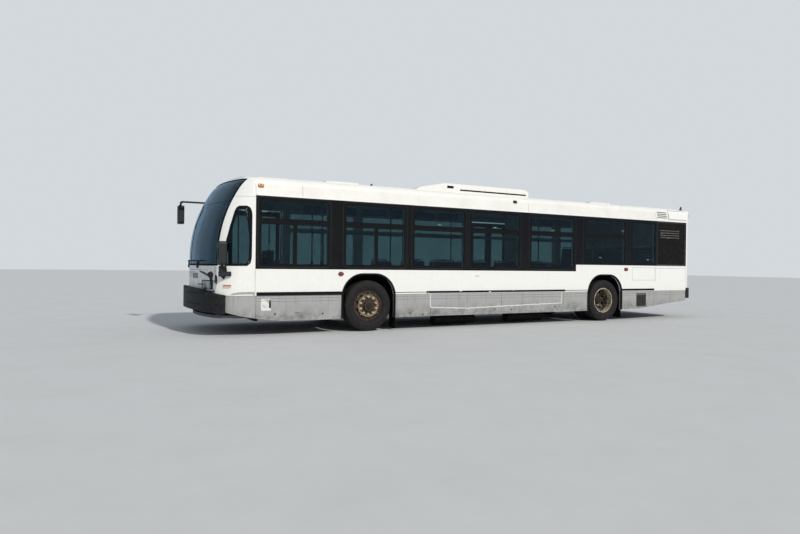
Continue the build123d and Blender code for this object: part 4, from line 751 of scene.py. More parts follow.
sideJoints = {  # (x, z) runs on each side
    1: [[(5.288, 0.711), (5.288, 1.180)], [(-4.842, 0.934), (-4.842, 1.333)],
        [(-5.968, 0.76), (-5.968, 1.333)], [(-4.842, 1.270), (-5.960, 1.270)],
        [(-4.010, 0.974), (-4.820, 0.974)], [(-4.010, 0.974), (-4.010, 1.280)],
        [(-4.010, 1.280), (-4.820, 1.280)], [(-4.820, 0.974), (-4.820, 1.280)]],
    -1: [[(4.056, 0.711), (4.056, 1.180)], [(-4.842, 0.76), (-4.842, 1.333)],
         [(-5.968, 0.76), (-5.968, 1.333)], [(-4.842, 1.270), (-5.960, 1.270)],
         [(2.60, 0.76), (2.60, 1.180)], [(0.86, 0.76), (0.86, 1.180)]],
}
plainPiece("sideJoints", trimRubber, strips=[
    (sidePath(run, sign), 0.0045, joint["height"]) for sign, runs in sideJoints.items() for run in runs])

# skirt panels: upright joints, pressed lines along them with a line of painted shade under each, and the
# sheared lower edge
skirt = {"face": 1.287, "top": 0.706, "joints": (5.270, 1.734, 0.848, -0.035, -0.602, -1.782, -2.555),
         "narrowJoints": {1: (-4.79, -5.40), -1: (3.98, -4.79, -5.40)}, "pressedLines": (0.668, 0.615)}
skirtRuns = {1: [(5.262, 3.700), (2.500, -2.500), (-3.700, -5.960)],
             -1: [(4.030, 3.700), (2.500, -0.860), (-2.150, -2.500), (-3.700, -5.960)]}


def skirtFoot(x):
    # the skirt's lower edge at x
    edge = [(-6.0, 0.448), (-5.018, 0.355), (-4.295, 0.270), (-3.67, 0.257), (4.783, 0.257), (5.018, 0.277),
            (5.266, 0.311), (5.543, 0.362)]
    for (x0, z0), (x1, z1) in zip(edge, edge[1:]):
        if x0 <= x <= x1:
            return z0 + (z1 - z0) * (x - x0) / (x1 - x0)
    return 0.257


def skirtPath(points, sign=1):
    return sidePath(points, sign, skirt["face"])


joints, pressings, pressingShadeLines = [], [], []
for sign, runs in skirtRuns.items():
    wide = [x for x in skirt["joints"] if any(x1 <= x <= x0 + 0.01 for x0, x1 in runs)]
    for places, width in ((wide, 0.006), (skirt["narrowJoints"][sign], 0.004)):
        joints += [(skirtPath([(x, skirt["top"]), (x, skirtFoot(x) + 0.004)], sign), width, 0.0005)
                   for x in places]
    for x0, x1 in runs:
        for z in skirt["pressedLines"]:
            line = skirtPath(spread([(x0, z), (x1, z)], 0.6), sign)
            pressings.append((line, 0.016, 0.0032, 0.001, False, 0.3))
            # a slightly darker strip 11 mm under each pressed line: painted shade below the pressing
            pressingShadeLines.append((skirtPath([(x0, z - 0.011), (x1, z - 0.011)], sign), 0.007, 0.0006))
        low = [(x, skirtFoot(x) + 0.055) for x, _ in spread([(x0, 0), (x1, 0)], 0.2)]
        pressings.append((skirtPath(low, sign), 0.014, 0.0028, 0.001, False, 0.3))
plainPiece("skirtJoints", trimRubber, strips=joints)
plainPiece("skirtPressings", skirtPaint, strips=pressings)
plainPiece("skirtCreases", greyPlasticAndPressingShade, strips=pressingShadeLines)

# uneven white sealant round the middle skirt panel, gunned on by hand
sealant = {"width": 0.022, "wobble": 0.006}
bm = bmesh.new()
runs = ([(1.734, 0.702), (1.742, 0.56), (1.730, 0.428)],
        [(1.730, 0.428), (0.82, 0.392), (-0.035, 0.418), (-1.745, 0.453)],
        [(-1.745, 0.453), (-1.740, 0.56), (-1.748, 0.700)])
for k, run in enumerate(runs):
    wavy = []
    for i, (x, z) in enumerate(spread(run, 0.05)):
        sway = sealant["wobble"] * math.sin(i * 1.7 + k) * math.sin(i * 0.43 + 2 * k)
        wavy.append((x, z + sway) if k == 1 else (x + sway, z))
    stripInto(bm, skirtPath(wavy), sealant["width"], 0.003, 0.001, False, 0.5)
finishMesh("sealantLines", bm, sealantWhite)

# latches, the vent mesh, the filler with its plate, and a slot
latches = ((4.929, 0.384), (4.033, 0.368), (2.208, 0.330), (1.910, 0.298), (0.136, 0.357), (-0.310, 0.335),
           (-1.539, 0.374))
y = skirt["face"]
spots = [(x, z, sign) for sign in (1, -1) for x, z in latches
         if sign == 1 or not (-2.14 < x < -0.87 or x > 4.0)]
plainPiece("skirtLatches", blackPlastic,
           [((x - 0.010, y * sign, z - 0.003), (x + 0.010, (y + 0.006) * sign, z + 0.003))
            for x, z, sign in spots],
           [((x, (y - 0.001) * sign, z), (x, (y + 0.004) * sign, z), 0.016, 18, 0.0145)
            for x, z, sign in spots])
plainPiece("skirtSlots", trimRubber, [((4.470, 1.2865, 0.3905), (4.566, 1.2900, 0.3975)),
                                      ((5.003, 1.2865, 0.488), (5.037, 1.2895, 0.634)),
                                      ((0.56, 1.2952, 1.060), (0.66, 1.2962, 1.068))], bevel=0.001)
filler = {"x": 5.105, "z": 0.552, "radius": 0.046, "plateX": (5.000, 5.1806), "plateZ": (0.447, 0.657)}
bm = bmesh.new()
prismInto(bm, roundedLoop(*filler["plateX"], *filler["plateZ"], 0.02), 1.2865, 1.2895)
finishMesh("fillerPlate", bm, fasciaPaint, bevel=0.001)
bm = bmesh.new()
latheInto(bm, [(0.0, filler["radius"] + 0.006), (0.003, filler["radius"] + 0.006), (0.004, filler["radius"]),
               (0.009, filler["radius"] * 0.94), (0.011, filler["radius"] * 0.8), (0.011, 0.001)],
          (filler["x"], 1.2893, filler["z"]), 40)
finishMesh("fillerCap", bm, whitePlastic, smooth=True, angle=40)
vent = {"x": (-4.500, -4.180), "z": (0.330, 0.638), "pitch": 0.022, "face": 1.2876}
(x0, x1), (z0, z1) = vent["x"], vent["z"]
plainPiece("ventBack", trimRubber, [((x0, 1.2865, z0), (x1, 1.2878, z1))])
bm = bmesh.new()
width, height = x1 - x0, z1 - z0
for k in range(int((width + height) / vent["pitch"])):
    d = k * vent["pitch"]
    for flip in (False, True):
        a = (min(d, width), max(0.0, d - width))
        b = (max(0.0, d - height), min(d, height))
        if math.dist(a, b) > 0.01:
            ends = [(x0 + (width - u if flip else u), z0 + v) for u, v in (a, b)]
            stripInto(bm, sidePath(ends, 1, vent["face"]), 0.006, 0.0022 if flip else 0.0034, 0.0004)
stripInto(bm, sidePath(roundedLoop(x0, x1, z0, z1, 0.010), 1, vent["face"]), 0.020, 0.004, 0.0010, True)
finishMesh("ventMesh", bm, meshMetal)

# rivets along the lower edge of the white side and along the cove panels
rivet = {"radius": 0.0042, "tip": 0.0021, "height": 0.0020, "pitch": 0.118,
         "rows": ((5.20, 3.72, 0.800), (2.46, -2.46, 0.800), (-3.74, -5.90, 0.800), (5.24, -5.90, 1.155)),
         "coveRows": ((2.512, 1.2878), (2.655, 1.2658)), "pillarX": (5.262, 5.315),
         "pillarZ": (0.80, 0.87, 0.94, 1.01, 1.08, 1.145)}
for side, sign in bothSides:
    spots = []
    for x0, x1, z in rivet["rows"]:
        for x in [x0 - i * rivet["pitch"] for i in range(int((x0 - x1) / rivet["pitch"]) + 1)]:
            inDoor = sign == -1 and (-2.15 < x < -0.87 or 4.04 < x < 5.30)
            if not inDoor and (z < 1.0 or x >= -2.1):
                spots.append((x, sideY - 0.0002, sideY, z, z))
    for z, y in rivet["coveRows"]:
        xs = [5.2 - i * rivet["pitch"] for i in range(int(11.1 / rivet["pitch"]))]
        spots += [(x, y - 0.0006, y, z, z + 0.0003) for x in xs]
    if sign == 1:
        spots += [(x, sideY - 0.0002, sideY, z, z) for z in rivet["pillarZ"] for x in rivet["pillarX"]]
    plainPiece("sideRivets_" + side, whitePaint, (),
               [((x, back * sign, z0), (x, (y + rivet["height"]) * sign, z1),
                 rivet["radius"], 8, rivet["tip"]) for x, back, y, z0, z1 in spots])
print("panel joints and skirts done")


# roof: cove box with gills, pod vents and seams, hatch ribs, fins and gutters

coveBox = {"x": (-5.990, -5.310), "z": (2.520, 2.762), "proud": 0.014}


def coveY(z):
    # how far out the cove stands at height z
    rise = z - roofShape["leanZ"]
    if rise <= 0:
        slope = (sideY - roofShape["leanY"]) / (roofShape["leanZ"] - roofShape["eave"])
        return sideY - (z - roofShape["eave"]) * slope
    return roofShape["leanY"] - 0.9 * rise ** 2 / 0.15 - 0.10 * rise


def coveSheet(bm, x0, x1, z0, z1, proud, sink=0.004):
    # a sheet that follows the left cove between two heights
    heights = [z0 + (z1 - z0) * i / 6 for i in range(7)]
    section = [(coveY(z) + proud, z) for z in heights] + [(coveY(z) - sink, z) for z in heights[::-1]]
    count = len(section)
    for ring in loftInto(bm, [[(x, y, z) for y, z in section] for x in (x0, x1)], caps=()):
        for i in range(count // 2 - 1):
            bm.faces.new((ring[i], ring[i + 1], ring[count - 2 - i], ring[count - 1 - i]))


bm = bmesh.new()
coveSheet(bm, *coveBox["x"], *coveBox["z"], coveBox["proud"])
finishMesh("coveBox", bm, whitePaint, bevel=0.003)
seams = [sidePath([(x, z) for x in (-5.98, -5.75, -5.50, -5.32)], 1, coveY(z) + 0.015)
         for z in (2.532, 2.752)]
rise = [sidePath([(-5.312, z)], 1, coveY(z) + 0.015)[0] for z in (2.525, 2.60, 2.68, 2.755)]
plainPiece("coveBoxJoints", trimRubber,
           strips=[*[(seam, 0.006, 0.0006) for seam in seams], (rise, 0.005, 0.0006)])
gillZ = (2.555, 2.600, 2.645, 2.690)
bm = bmesh.new()
for z in gillZ:
    coveSheet(bm, -5.240, -4.900, z, z + 0.014, 0.009)
for x, z in ((-5.262, 2.545), (-5.262, 2.60), (-5.262, 2.66), (-4.885, 2.545)):
    tubeInto(bm, (x, coveY(z) - 0.001, z), (x, coveY(z) + 0.006, z), 0.010, 12, 0.008)
finishMesh("coveGills", bm, greyPlasticAndPressingShade, bevel=0.001)
bm = bmesh.new()
for z in gillZ:
    coveSheet(bm, -5.236, -4.904, z - 0.007, z - 0.0005, 0.0012)
finishMesh("coveGillShadows", bm, trimRubber)

# roof pod: a slot, two seams and an opening on each side, louvres at its rear, and pressings on top
podSlots = [((-1.150, 0.700, 2.914), (0.675, 0.7012, 2.946)), ((-0.602, 0.700, 2.845), (-0.598, 0.7008, 3.0)),
            ((-0.002, 0.700, 2.845), (0.002, 0.7008, 3.0)), ((0.840, 0.695, 2.952), (1.005, 0.7014, 3.006))]
podLouvres = [((-1.2212, -0.50, z), (-1.2195, 0.50, z + 0.006)) for z in cross(2.860, 2.972, 9)]
plainPiece("podVents", trimRubber, mirrored(podSlots) + podLouvres)
plainPiece("podPressings", trimRubber,
           tubes=mirrored([((x, 0.612, 3.0600), (x, 0.612, 3.0649), 0.007, 8)
                           for x in cross(-1.10, 0.95, 11)]),
           strips=[(flatPath(roundedLoop(x - 0.24, x + 0.24, -0.42, 0.42, 0.08), 2, 3.0640, 1),
                    0.008, 0.0009, 0.001, True) for x in (-0.85, -0.25, 0.35)])

hatches = {"hatch_front": 3.300, "hatch_rear": -3.850}
for body, x in hatches.items():
    plainPiece("hatchRibs_" + body, whitePlastic,
               [((x - 0.26, y - 0.014, 2.9555), (x + 0.26, y + 0.014, 2.9612))
                for y in (-0.20, -0.07, 0.07, 0.20)],
               [((x + dx, y, 2.948), (x + dx, y, 2.955), 0.010, 10) for dx in (-0.31, 0.31)
                for y in (-0.31, 0.31)],
               body=body, bevel=0.002)
bm = bmesh.new()
for x in hatches.values():
    loop = roundedLoop(x - 0.375, x + 0.375, -0.375, 0.375, 0.03)
    heights = [roofShape["crownZ"] - 0.006 - 0.0694 * py ** 2 for _, py in loop]
    crown = [(Vector((px, py, z)), Vector((0, 0, 1))) for (px, py), z in zip(loop, heights)]
    stripInto(bm, crown, 0.055, 0.010, 0.004, True)
finishMesh("hatchSealant", bm, sealantWhite)

fins = ((2.66, 0.35, 0.085), (-4.62, 0.35, 0.055), (-6.02, 1.08, 0.100))  # x, y, height
bm = bmesh.new()
for x, y, tall in fins:
    z = layOn(roofTree, [(x, y, 4.0)], (0, 0, -1))[0][0].z - 0.006
    outline = ((-0.050, 0), (0.060, 0), (0.035, 0.018), (-0.005, tall), (-0.035, tall), (-0.045, 0.02))
    prismInto(bm, [(x + dx, z + dz) for dx, dz in outline], y - 0.009, y + 0.009)
    tubeInto(bm, (x, y, z - 0.002), (x, y, z + 0.014), 0.042, 20, 0.034)
finishMesh("roofFins", bm, blackPlastic, bevel=0.003)
plainPiece("roofGutters", roofPaint, strips=[
    (layOn(roofTree, [(x, y, 3.5) for x in (5.2, 2.6, 0.0, -2.6, -5.9)], (0, 0, -1)), 0.014, 0.009, 0.002)
    for y in (1.085, -1.085)])
print("roof done")


# front: screen seal, sign divider, driver's window seal, nose seams, lamp bezels and wiper blades

frontTree = surfaceOf(["front_fascia", "front_corners", "front_cap", "front_glass", "headlamps",
                       "side_glass"])
front = {"edge": 1.136, "screenFoot": 1.244, "screenTop": 2.345, "signTop": 2.756, "sealWidth": 0.040}


def frontPath(points, lift=0.0):
    # (y, z) points seen from ahead, laid on the nose
    return layOn(frontTree, [(7.0, y, z) for y, z in points], (-1, 0, 0), lift)


edge, foot, top = front["edge"], front["screenFoot"], front["signTop"]
loop = spread([(-edge, foot), (edge, foot), (edge, top), (-edge, top)], 0.09, True)
divider = spread([(-1.13, front["screenTop"]), (1.13, front["screenTop"])], 0.09)
plainPiece("screenSeal", trimRubber, strips=[(frontPath(loop), front["sealWidth"], 0.007, 0.003, True, 0.6),
                                             (frontPath(divider), 0.032, 0.006, 0.003, False, 0.6)])
rows = [frontPath([(y, z) for y in cross(-1.09, 1.09, 21)], -0.040)
        for z in (2.37, 2.45, 2.53, 2.61, 2.69, 2.745)]
plainPiece("blankSignBoard", blackPlastic, lofts=[([[spot for spot, _ in row] for row in rows], False, ())])
plainPiece("screenCentreBar", trimRubber, strips=[
    (frontPath(spread([(0.0, 1.26), (0.0, 2.33)], 0.08)), 0.020, 0.004, 0.002, False, 0.6)])

driverWindow = [(5.365, 1.682), (5.368, 1.370), (5.385, 1.290), (5.433, 1.248), (5.789, 1.244),
                (5.799, 1.363), (5.760, 1.671), (5.696, 1.929), (5.631, 2.155), (5.600, 2.225),
                (5.564, 2.253), (5.444, 2.259), (5.400, 2.236), (5.376, 2.192), (5.365, 2.120)]
bm = bmesh.new()
ring = spread(driverWindow, 0.10, True)
stripInto(bm, layOn(frontTree, [(x, 2.4, z) for x, z in ring], (0, -1, 0)), 0.046, 0.006, 0.045, True, 0.7)
prismInto(bm, [(5.364, 1.66), (5.360, 2.12), (5.372, 2.20), (5.398, 2.242), (5.446, 2.264), (5.4445, 2.2575),
               (5.366, 1.682)], 1.2900, 1.2968)
bar = layOn(frontTree, [(5.585, 2.4, z) for z in (1.262, 1.40, 1.60, 1.80, 2.00, 2.20)], (0, -1, 0))
stripInto(bm, bar, 0.022, 0.004, 0.002, False, 0.6)
finishMesh("driverWindowSeal", bm, trimRubber)

seams = [(frontPath(spread([(-1.10, 1.150), (1.10, 1.150)], 0.09)), 0.005, 0.0005)]
bulbs = []
bulbShape = ((0.0015, 1.0), (0.005, 0.96), (0.0075, 0.82), (0.0085, 0.4))  # how far forward, share of radius
for sign in (1, -1):
    seams.append((frontPath(spread([(1.106 * sign, 0.74), (1.106 * sign, 1.215)], 0.08)), 0.005, 0.0005))
    corners = ((0.712, 0.782), (1.098, 0.782), (1.098, 0.968), (0.712, 0.968))
    bezel = frontPath(spread([(y * sign, z) for y, z in corners], 0.05, True))
    seams.append((bezel, 0.020, 0.006, 0.002, True, 0.6))
    for y, radius in ((0.80, 0.062), (0.985, 0.055)):
        spot = frontPath([(y * sign, 0.875)])[0][0]
        bulbs.append(([[spot + Vector((dx - 0.2 * radius * abs(u), radius * share * u, radius * share * w))
                        for u, w in circle(1, 28)] for dx, share in bulbShape], True, (-1,)))
plainPiece("noseJoints", trimRubber, strips=seams)
plainPiece("headlampBulbs", aluminium, lofts=bulbs, smooth=True, angle=50)
plainPiece("noseVentBars", greyPlasticAndPressingShade, strips=[
    (frontPath(spread([(-0.34, z), (0.34, z)], 0.085)), 0.009, 0.0022, 0.0005)
    for z in cross(1.025, 1.113, 5)])
spots = [layOn(bodyTree, [(7.0, y, 1.175)], (-1, 0, 0))[0][0]
         for y in (0.32, 0.62, 1.02, -0.32, -0.62, -1.02)]
plainPiece("noseFasteners", stainless, (),
           [((spot.x - 0.002, spot.y, spot.z), (spot.x + 0.004, spot.y, spot.z), 0.010, 12, 0.007)
            for spot in spots])
wiper = {"ends": ((0.14, 0.88), (-0.88, -0.14)), "z": 1.3125}
wiperTree = surfaceOf(["wipers", "front_glass"])
parts = []  # blades, clips and arms: points, width, height, sink
for y0, y1 in wiper["ends"]:
    parts.append(([(y, wiper["z"]) for y in cross(y0, y1, 9)], 0.012, 0.006, 0.002))
    parts += [([(y - 0.02, wiper["z"]), (y + 0.02, wiper["z"])], 0.026, 0.009, 0.001)
              for y in cross(y0, y1, 5)[1::2]]
    parts.append(([((y0 + y1) / 2, z) for z in (1.20, 1.235)], 0.030, 0.008, 0.002))
plainPiece("wiperBlades", trimRubber, strips=[
    (layOn(wiperTree, [(7.0, y, z) for y, z in points], (-1, 0, 0)), *sizes) for points, *sizes in parts])

# nose damage on the camera's side, where the shell is torn: the tears and gaps are dark plates of painted
# shade over the openings behind it, and pale shards show its edges
noseTree = surfaceOf(["front_fascia", "front_corners", "headlamps"])
cornerTree = surfaceOf(["front_corners"])
tearShadeOutlines = {
    "tearLeft": [(208.3, 272.3), (211.4, 271.2), (213.4, 273.8), (212.5, 279.0), (213.1, 284.0),
                 (212.5, 289.6), (210.5, 289.2), (210.2, 283.2), (209.3, 277.6), (206.6, 275.0)],
    "tearRight": [(215.0, 274.6), (216.9, 275.6), (217.3, 280.0), (216.8, 284.6), (215.4, 283.3),
                  (214.9, 279.0)],
    "tearTop": [(199.6, 270.4), (204.0, 271.8), (209.8, 275.6), (209.2, 276.6), (203.4, 273.6),
                (199.8, 271.6)],
    "gapLow": [(198.4, 283.4), (203.4, 283.8), (203.2, 284.8), (198.6, 284.4)],
    "gapCorner": [(205.2, 287.4), (207.4, 287.8), (207.0, 289.2), (205.4, 288.6)],
}
# each tear and gap is a dark plate: painted shade of the opening behind the torn shell
for name, outline in tearShadeOutlines.items():
    photoPatch("noseCrack_" + name, noseTree, outline, tearOpeningShade, 0.0010, 0.0015)
shards = {
    "upper": [(199.0, 272.0), (203.6, 274.0), (208.4, 277.6), (208.0, 279.6), (203.0, 276.6), (199.4, 274.2)],
    "lower": [(213.9, 279.6), (214.9, 283.6), (216.6, 288.0), (214.4, 291.2), (213.5, 286.4)],
    "edge": [(213.2, 269.6), (214.6, 270.4), (215.0, 273.6), (213.9, 273.2)],
}
for name, outline in shards.items():
    photoPatch("noseShard_" + name, noseTree, outline, whitePlastic, 0.0035, 0.0035)
lampGhost = [(192.9, 272.6), (198.0, 272.8), (198.2, 278.2), (193.2, 278.0)]
photoPatch("noseLampRecess", noseTree, lampGhost, greyPlasticAndPressingShade, 0.0008, 0.0012)
greyWedge = [(226.0, 296.6), (229.0, 295.2), (233.0, 293.4), (238.0, 292.4), (246.0, 292.0), (254.6, 291.9),
             (254.6, 296.4), (240.0, 296.6)]
photoPatch("cornerGreyPaint", bodyTree, greyWedge, skirtPaint, 0.0004, 0.0005, 1.2)
print("front done")

# bumper shoulders fill the step between the nose and the sides
shoulder = {"centre": (5.30, 0.62), "from": 14, "to": 58.8, "steps": 15, "foot": 0.700, "top": 0.822,
            "fall": 0.115}
bumperTree = surfaceOf(["bumper_front"])
noseOnly = surfaceOf(["front_fascia", "front_corners", "headlamps", "skirts"])
bm = bmesh.new()
for sign in (1, -1):
    loops = []
    centre = Vector((shoulder["centre"][0], shoulder["centre"][1] * sign, 0))
    for i, angle in enumerate(cross(shoulder["from"], shoulder["to"], shoulder["steps"])):
        aim = Vector((math.cos(math.radians(angle)), math.sin(math.radians(angle)) * sign, 0))
        out = bumperTree.ray_cast(centre + aim * 2 + Vector((0, 0, 0.66)), -aim)[0]
        back = noseOnly.ray_cast(centre + aim * 2 + Vector((0, 0, 0.79)), -aim)[0]
        if out is None or back is None:
            continue
        share = i / (shoulder["steps"] - 1)
        foot, top = shoulder["foot"], shoulder["top"] - shoulder["fall"] * share ** 0.9
        inner = (back - centre).xy.length
        reach = max((out - centre).xy.length, inner + 0.012)
        section = [(inner + 0.001, foot), (reach, foot), (reach, top - 0.016), (reach - 0.012, top),
                   (inner + 0.001, top)]
        loops.append([(centre.x + aim.x * r, centre.y + aim.y * r, z) for r, z in section])
    loftInto(bm, loops)
finishMesh("bumperShoulders", bm, bumperRubber, smooth=True, angle=40)
bm = bmesh.new()
for z in (0.560, 0.745):
    arc = []
    for i in range(41):
        angle = math.radians(-60 + 3 * i)
        aim = Vector((math.cos(angle), math.sin(angle), 0))
        spot, normal, _, _ = bumperTree.ray_cast(Vector((4.6, 0, z)) + aim * 3, -aim)
        if spot is not None and spot.x < 6.2635 and spot.y > 0 and not (z > 0.70 and spot.y > 0.8):
            arc.append((spot, normal if normal.dot(aim) > 0 else -normal))
    stripInto(bm, arc, 0.020, 0.0006, 0.001)
finishMesh("bumperGrooves", bm, trimRubber)

# mirrors: silvered faces in their rims, clamps, and the black base plate of the left one
# (x, y, z, width, height of each head)
mirrorHeads = ((5.900, 1.490, 1.440, 0.240, 0.400), (6.160, -1.495, 2.270, 0.230, 0.380))
rims, boxes, screws, faces = [], [], [], []
for x, y, z, wide, tall in mirrorHeads:
    halfY, halfZ = wide / 2 - 0.014, tall / 2 - 0.014
    rims.append((flatPath(roundedLoop(y - halfY, y + halfY, z - halfZ, z + halfZ, 0.034), 0, x - 0.055, -1),
                 0.016, 0.003, 0.001, True))
    boxes.append(((x + 0.053, y - 0.030, z - 0.10), (x + 0.058, y + 0.030, z + 0.10)))
    screws += [((x + 0.053, y, z + dz), (x + 0.0585, y, z + dz), 0.011, 12, 0.008) for dz in (-0.16, 0.16)]
    for z0, z1 in ((z - tall / 2 + 0.024, z + 0.066), (z + 0.076, z + tall / 2 - 0.024)):
        loop = roundedLoop(y - wide / 2 + 0.024, y + wide / 2 - 0.024, z0, z1, 0.026)
        faces.append(([[(x - 0.055 - deep, py, pz) for py, pz in loop] for deep in (0.0, 0.0018)],))
plainPiece("mirrorRims", trimRubber, boxes, screws, rims, bevel=0.001)
plainPiece("mirrorGlasses", mirrorFace, lofts=faces)
basePlate = [(219.2, 265.8), (226.4, 265.8), (227.0, 270.4), (226.2, 276.0), (223.8, 279.4), (221.4, 276.8),
             (219.6, 271.6)]
photoPatch("mirrorBasePlate", cornerTree, basePlate, blackPlastic, 0.0010, 0.016)
plainPiece("mirrorClamps", trimRubber, (),
           [((5.890, 1.4725, 1.225), (5.890, 1.4725, 1.262), 0.026, 18, 0.022),
            ((6.1625, -1.4975, 2.440), (6.1625, -1.4975, 2.475), 0.028, 18, 0.024),
            *[((x, 1.296, 1.09), (x, 1.3045, 1.09), 0.014, 12, 0.011) for x in (5.72, 5.86)]])

# marker lamps (x, z, half length, half height); the front corner lamp is a flat amber strip in a white
# surround
markers = ((5.196, 2.640, 0.035, 0.022), (-0.391, 2.683, 0.035, 0.022), (-3.789, 1.235, 0.045, 0.028),
           (3.684, 1.098, 0.022, 0.030))
bezels = []
for sign in (1, -1):
    for x, z, halfX, halfZ in markers:
        loop = roundedLoop(x - halfX - 0.006, x + halfX + 0.006, z - halfZ - 0.006, z + halfZ + 0.006, 0.008)
        path = layOn(bodyTree, [(px, 2.0 * sign, pz) for px, pz in loop], (0, -sign, 0))
        bezels.append((path, 0.010, 0.008, 0.002, True, 0.7))
plainPiece("markerBezels", trimRubber, strips=bezels)
lensSets = (  # name, lamps, material, how much longer and taller than the lamp, how proud
    ("coveLampLenses", markers[:1], amberLens, 0.016, 0.006, 0.0155),
    ("sideLampLenses", markers[2:], brownLens, 0.004, -0.006, 0.0155),
    ("sideLampEnds", markers[1:], trimRubber, 0.016, -0.002, 0.0145))
for name, lamps, lens, growX, growZ, proud in lensSets:
    lenses = []
    for x, z, halfX, halfZ in lamps:
        halfX, halfZ = max(halfX, 0.036) + growX, min(halfZ, 0.024) + growZ
        lean = 0.09 if z > 2.4 else 0.0  # the cove leans in, the side doesn't
        for sign, centre in [(sign, x + halfX / 2 * end) for sign in (1, -1) for end in (-1, 1)]:
            y = layOn(bodyTree, [(x, 2.0 * sign, z)], (0, -sign, 0))[0][0].y
            loops = []
            for grown, rise in ((1.0, 0.002), (1.0, proud - 0.004), (0.86, proud), (0.4, proud + 0.0012)):
                wide, tall = halfX / 2 * grown, halfZ * grown
                loop = roundedLoop(centre - wide, centre + wide, z - tall, z + tall, tall * 0.45, 3)
                loops.append([(px, y + (rise - lean * (pz - z)) * sign, pz) for px, pz in loop])
            lenses.append((loops, True, (-1,)))
    plainPiece(name, lens, lofts=lenses, smooth=True, angle=50)
cornerLamp = {"x": (5.695, 5.809), "z": 0.886}
for name, low, high, lift, material in (("cornerLampStrip", -0.013, 0.013, 0.0165, amberLens),
                                        ("cornerLampTop", 0.013, 0.029, 0.0170, whitePlastic),
                                        ("cornerLampFoot", -0.029, -0.013, 0.0170, whitePlastic)):
    middle = cornerLamp["z"] + (low + high) / 2
    paths = [layOn(cornerTree, [(x, 2.0 * sign, middle) for x in cross(*cornerLamp["x"], 9)], (0, -sign, 0))
             for sign in (1, -1)]
    plainPiece(name, material, bevel=0.001,
               strips=[(path, high - low, lift, 0.002, False, 0.96) for path in paths])
print("mirrors and lamps done")


# doors: rubber edges, seals round the glass, grab rails inside, and brushes at the foot

doorLeaves = {  # body: rear edge, front edge
    "front_door_rear_leaf": (4.118, 4.670), "front_door_front_leaf": (4.680, 5.232),
    "rear_door_rear_leaf": (-2.072, -1.515), "rear_door_front_leaf": (-1.505, -0.948),
}
leaf = {"y": -1.260, "half": 0.020, "low": 0.400, "high": 2.400, "margin": 0.075, "glassZ": (0.550, 2.310),
        "radius": 0.050, "bristle": 0.012}
for body, (x0, x1) in doorLeaves.items():
    bm = bmesh.new()
    loop = roundedLoop(x0 + leaf["margin"], x1 - leaf["margin"], *leaf["glassZ"], leaf["radius"])
    for sign in (1, -1):
        path = flatPath(loop, 1, leaf["y"] + leaf["half"] * sign, sign)
        stripInto(bm, path, 0.022, 0.003, 0.001, True, 0.7)
    meeting, inward = (x1, -1) if body.endswith("rear_leaf") else (x0, 1)
    boxInto(bm, (meeting, leaf["y"] - 0.0235, leaf["low"] + 0.01),
            (meeting + 0.014 * inward, leaf["y"] - 0.0195, leaf["high"] - 0.01))
    for i in range(int((x1 - x0 - 0.05) / leaf["bristle"])):
        x = x0 + 0.025 + i * leaf["bristle"]
        boxInto(bm, (x, leaf["y"] - 0.008, leaf["low"] - 0.0035),
                (x + leaf["bristle"] / 2, leaf["y"] + 0.008, leaf["low"] + 0.001))
    finishMesh("leafSeals_" + body, bm, trimRubber, body, 0.0008)
    x, face = meeting + 0.040 * inward, leaf["y"] + leaf["half"]
    plainPiece("leafGrabRail_" + body, nosingYellow, (),
               [((x, face + 0.0004, z), (x, face + 0.030, z), 0.010, 12) for z in (0.86, 1.60)]
               + [((x, face + 0.030, 0.85), (x, face + 0.030, 1.61), 0.012, 14)], body=body)
sills, surrounds = [], []
for x0, x1 in ((4.070, 5.280), (-2.120, -0.900)):
    sills.append(((x0, -1.292, 0.3695), (x1, -1.246, 0.3735)))
    sills += [((x0, -1.290 + i * 0.0075, 0.3735), (x1, -1.2865 + i * 0.0075, 0.3752)) for i in range(6)]
    surrounds.append(((x0 - 0.010, -1.2965, 2.431), (x1 + 0.010, -1.2935, 2.452)))
    surrounds += [((x - 0.006, -1.2975, 0.715), (x + 0.006, -1.2935, 2.450))
                  for x in (x0 - 0.013, x1 + 0.013)]
plainPiece("doorThresholds", nosingYellow, sills, bevel=0.0008)
plainPiece("doorSurrounds", trimRubber, surrounds)
plainPiece("doorMotorCovers", liningPanel, [((x0, -1.2245, 2.440), (x1, -1.120, 2.560))
                                            for x0, x1 in ((4.30, 5.05), (-1.90, -1.12))], bevel=0.008)
print("doors done")


# rear: louvre blades, hinge straps, latches, lamp rings, a blank plate and joints

rearFace = -6.160
rearLouvre = {"count": 10, "z": 1.740, "pitch": 0.070, "depth": 0.016, "lip": 0.007, "rise": 0.036,
              "foot": 0.030}
doorLouvre = {"count": 5, "z": 1.150, "pitch": 0.060, "depth": 0.014, "lip": 0.006, "rise": 0.031,
              "foot": 0.026}


def louvreBlades(louvre, y0, y1):
    # slanted blades, one above the other, that lean out and down
    back, lip = rearFace + louvre["depth"], rearFace - louvre["lip"]
    section = ((back, louvre["rise"]), (back, louvre["foot"]), (lip, 0.004), (lip, 0.009))
    return [([[(x, y, louvre["z"] + i * louvre["pitch"] + dz) for x, dz in section] for y in (y0, y1)],)
            for i in range(louvre["count"])]


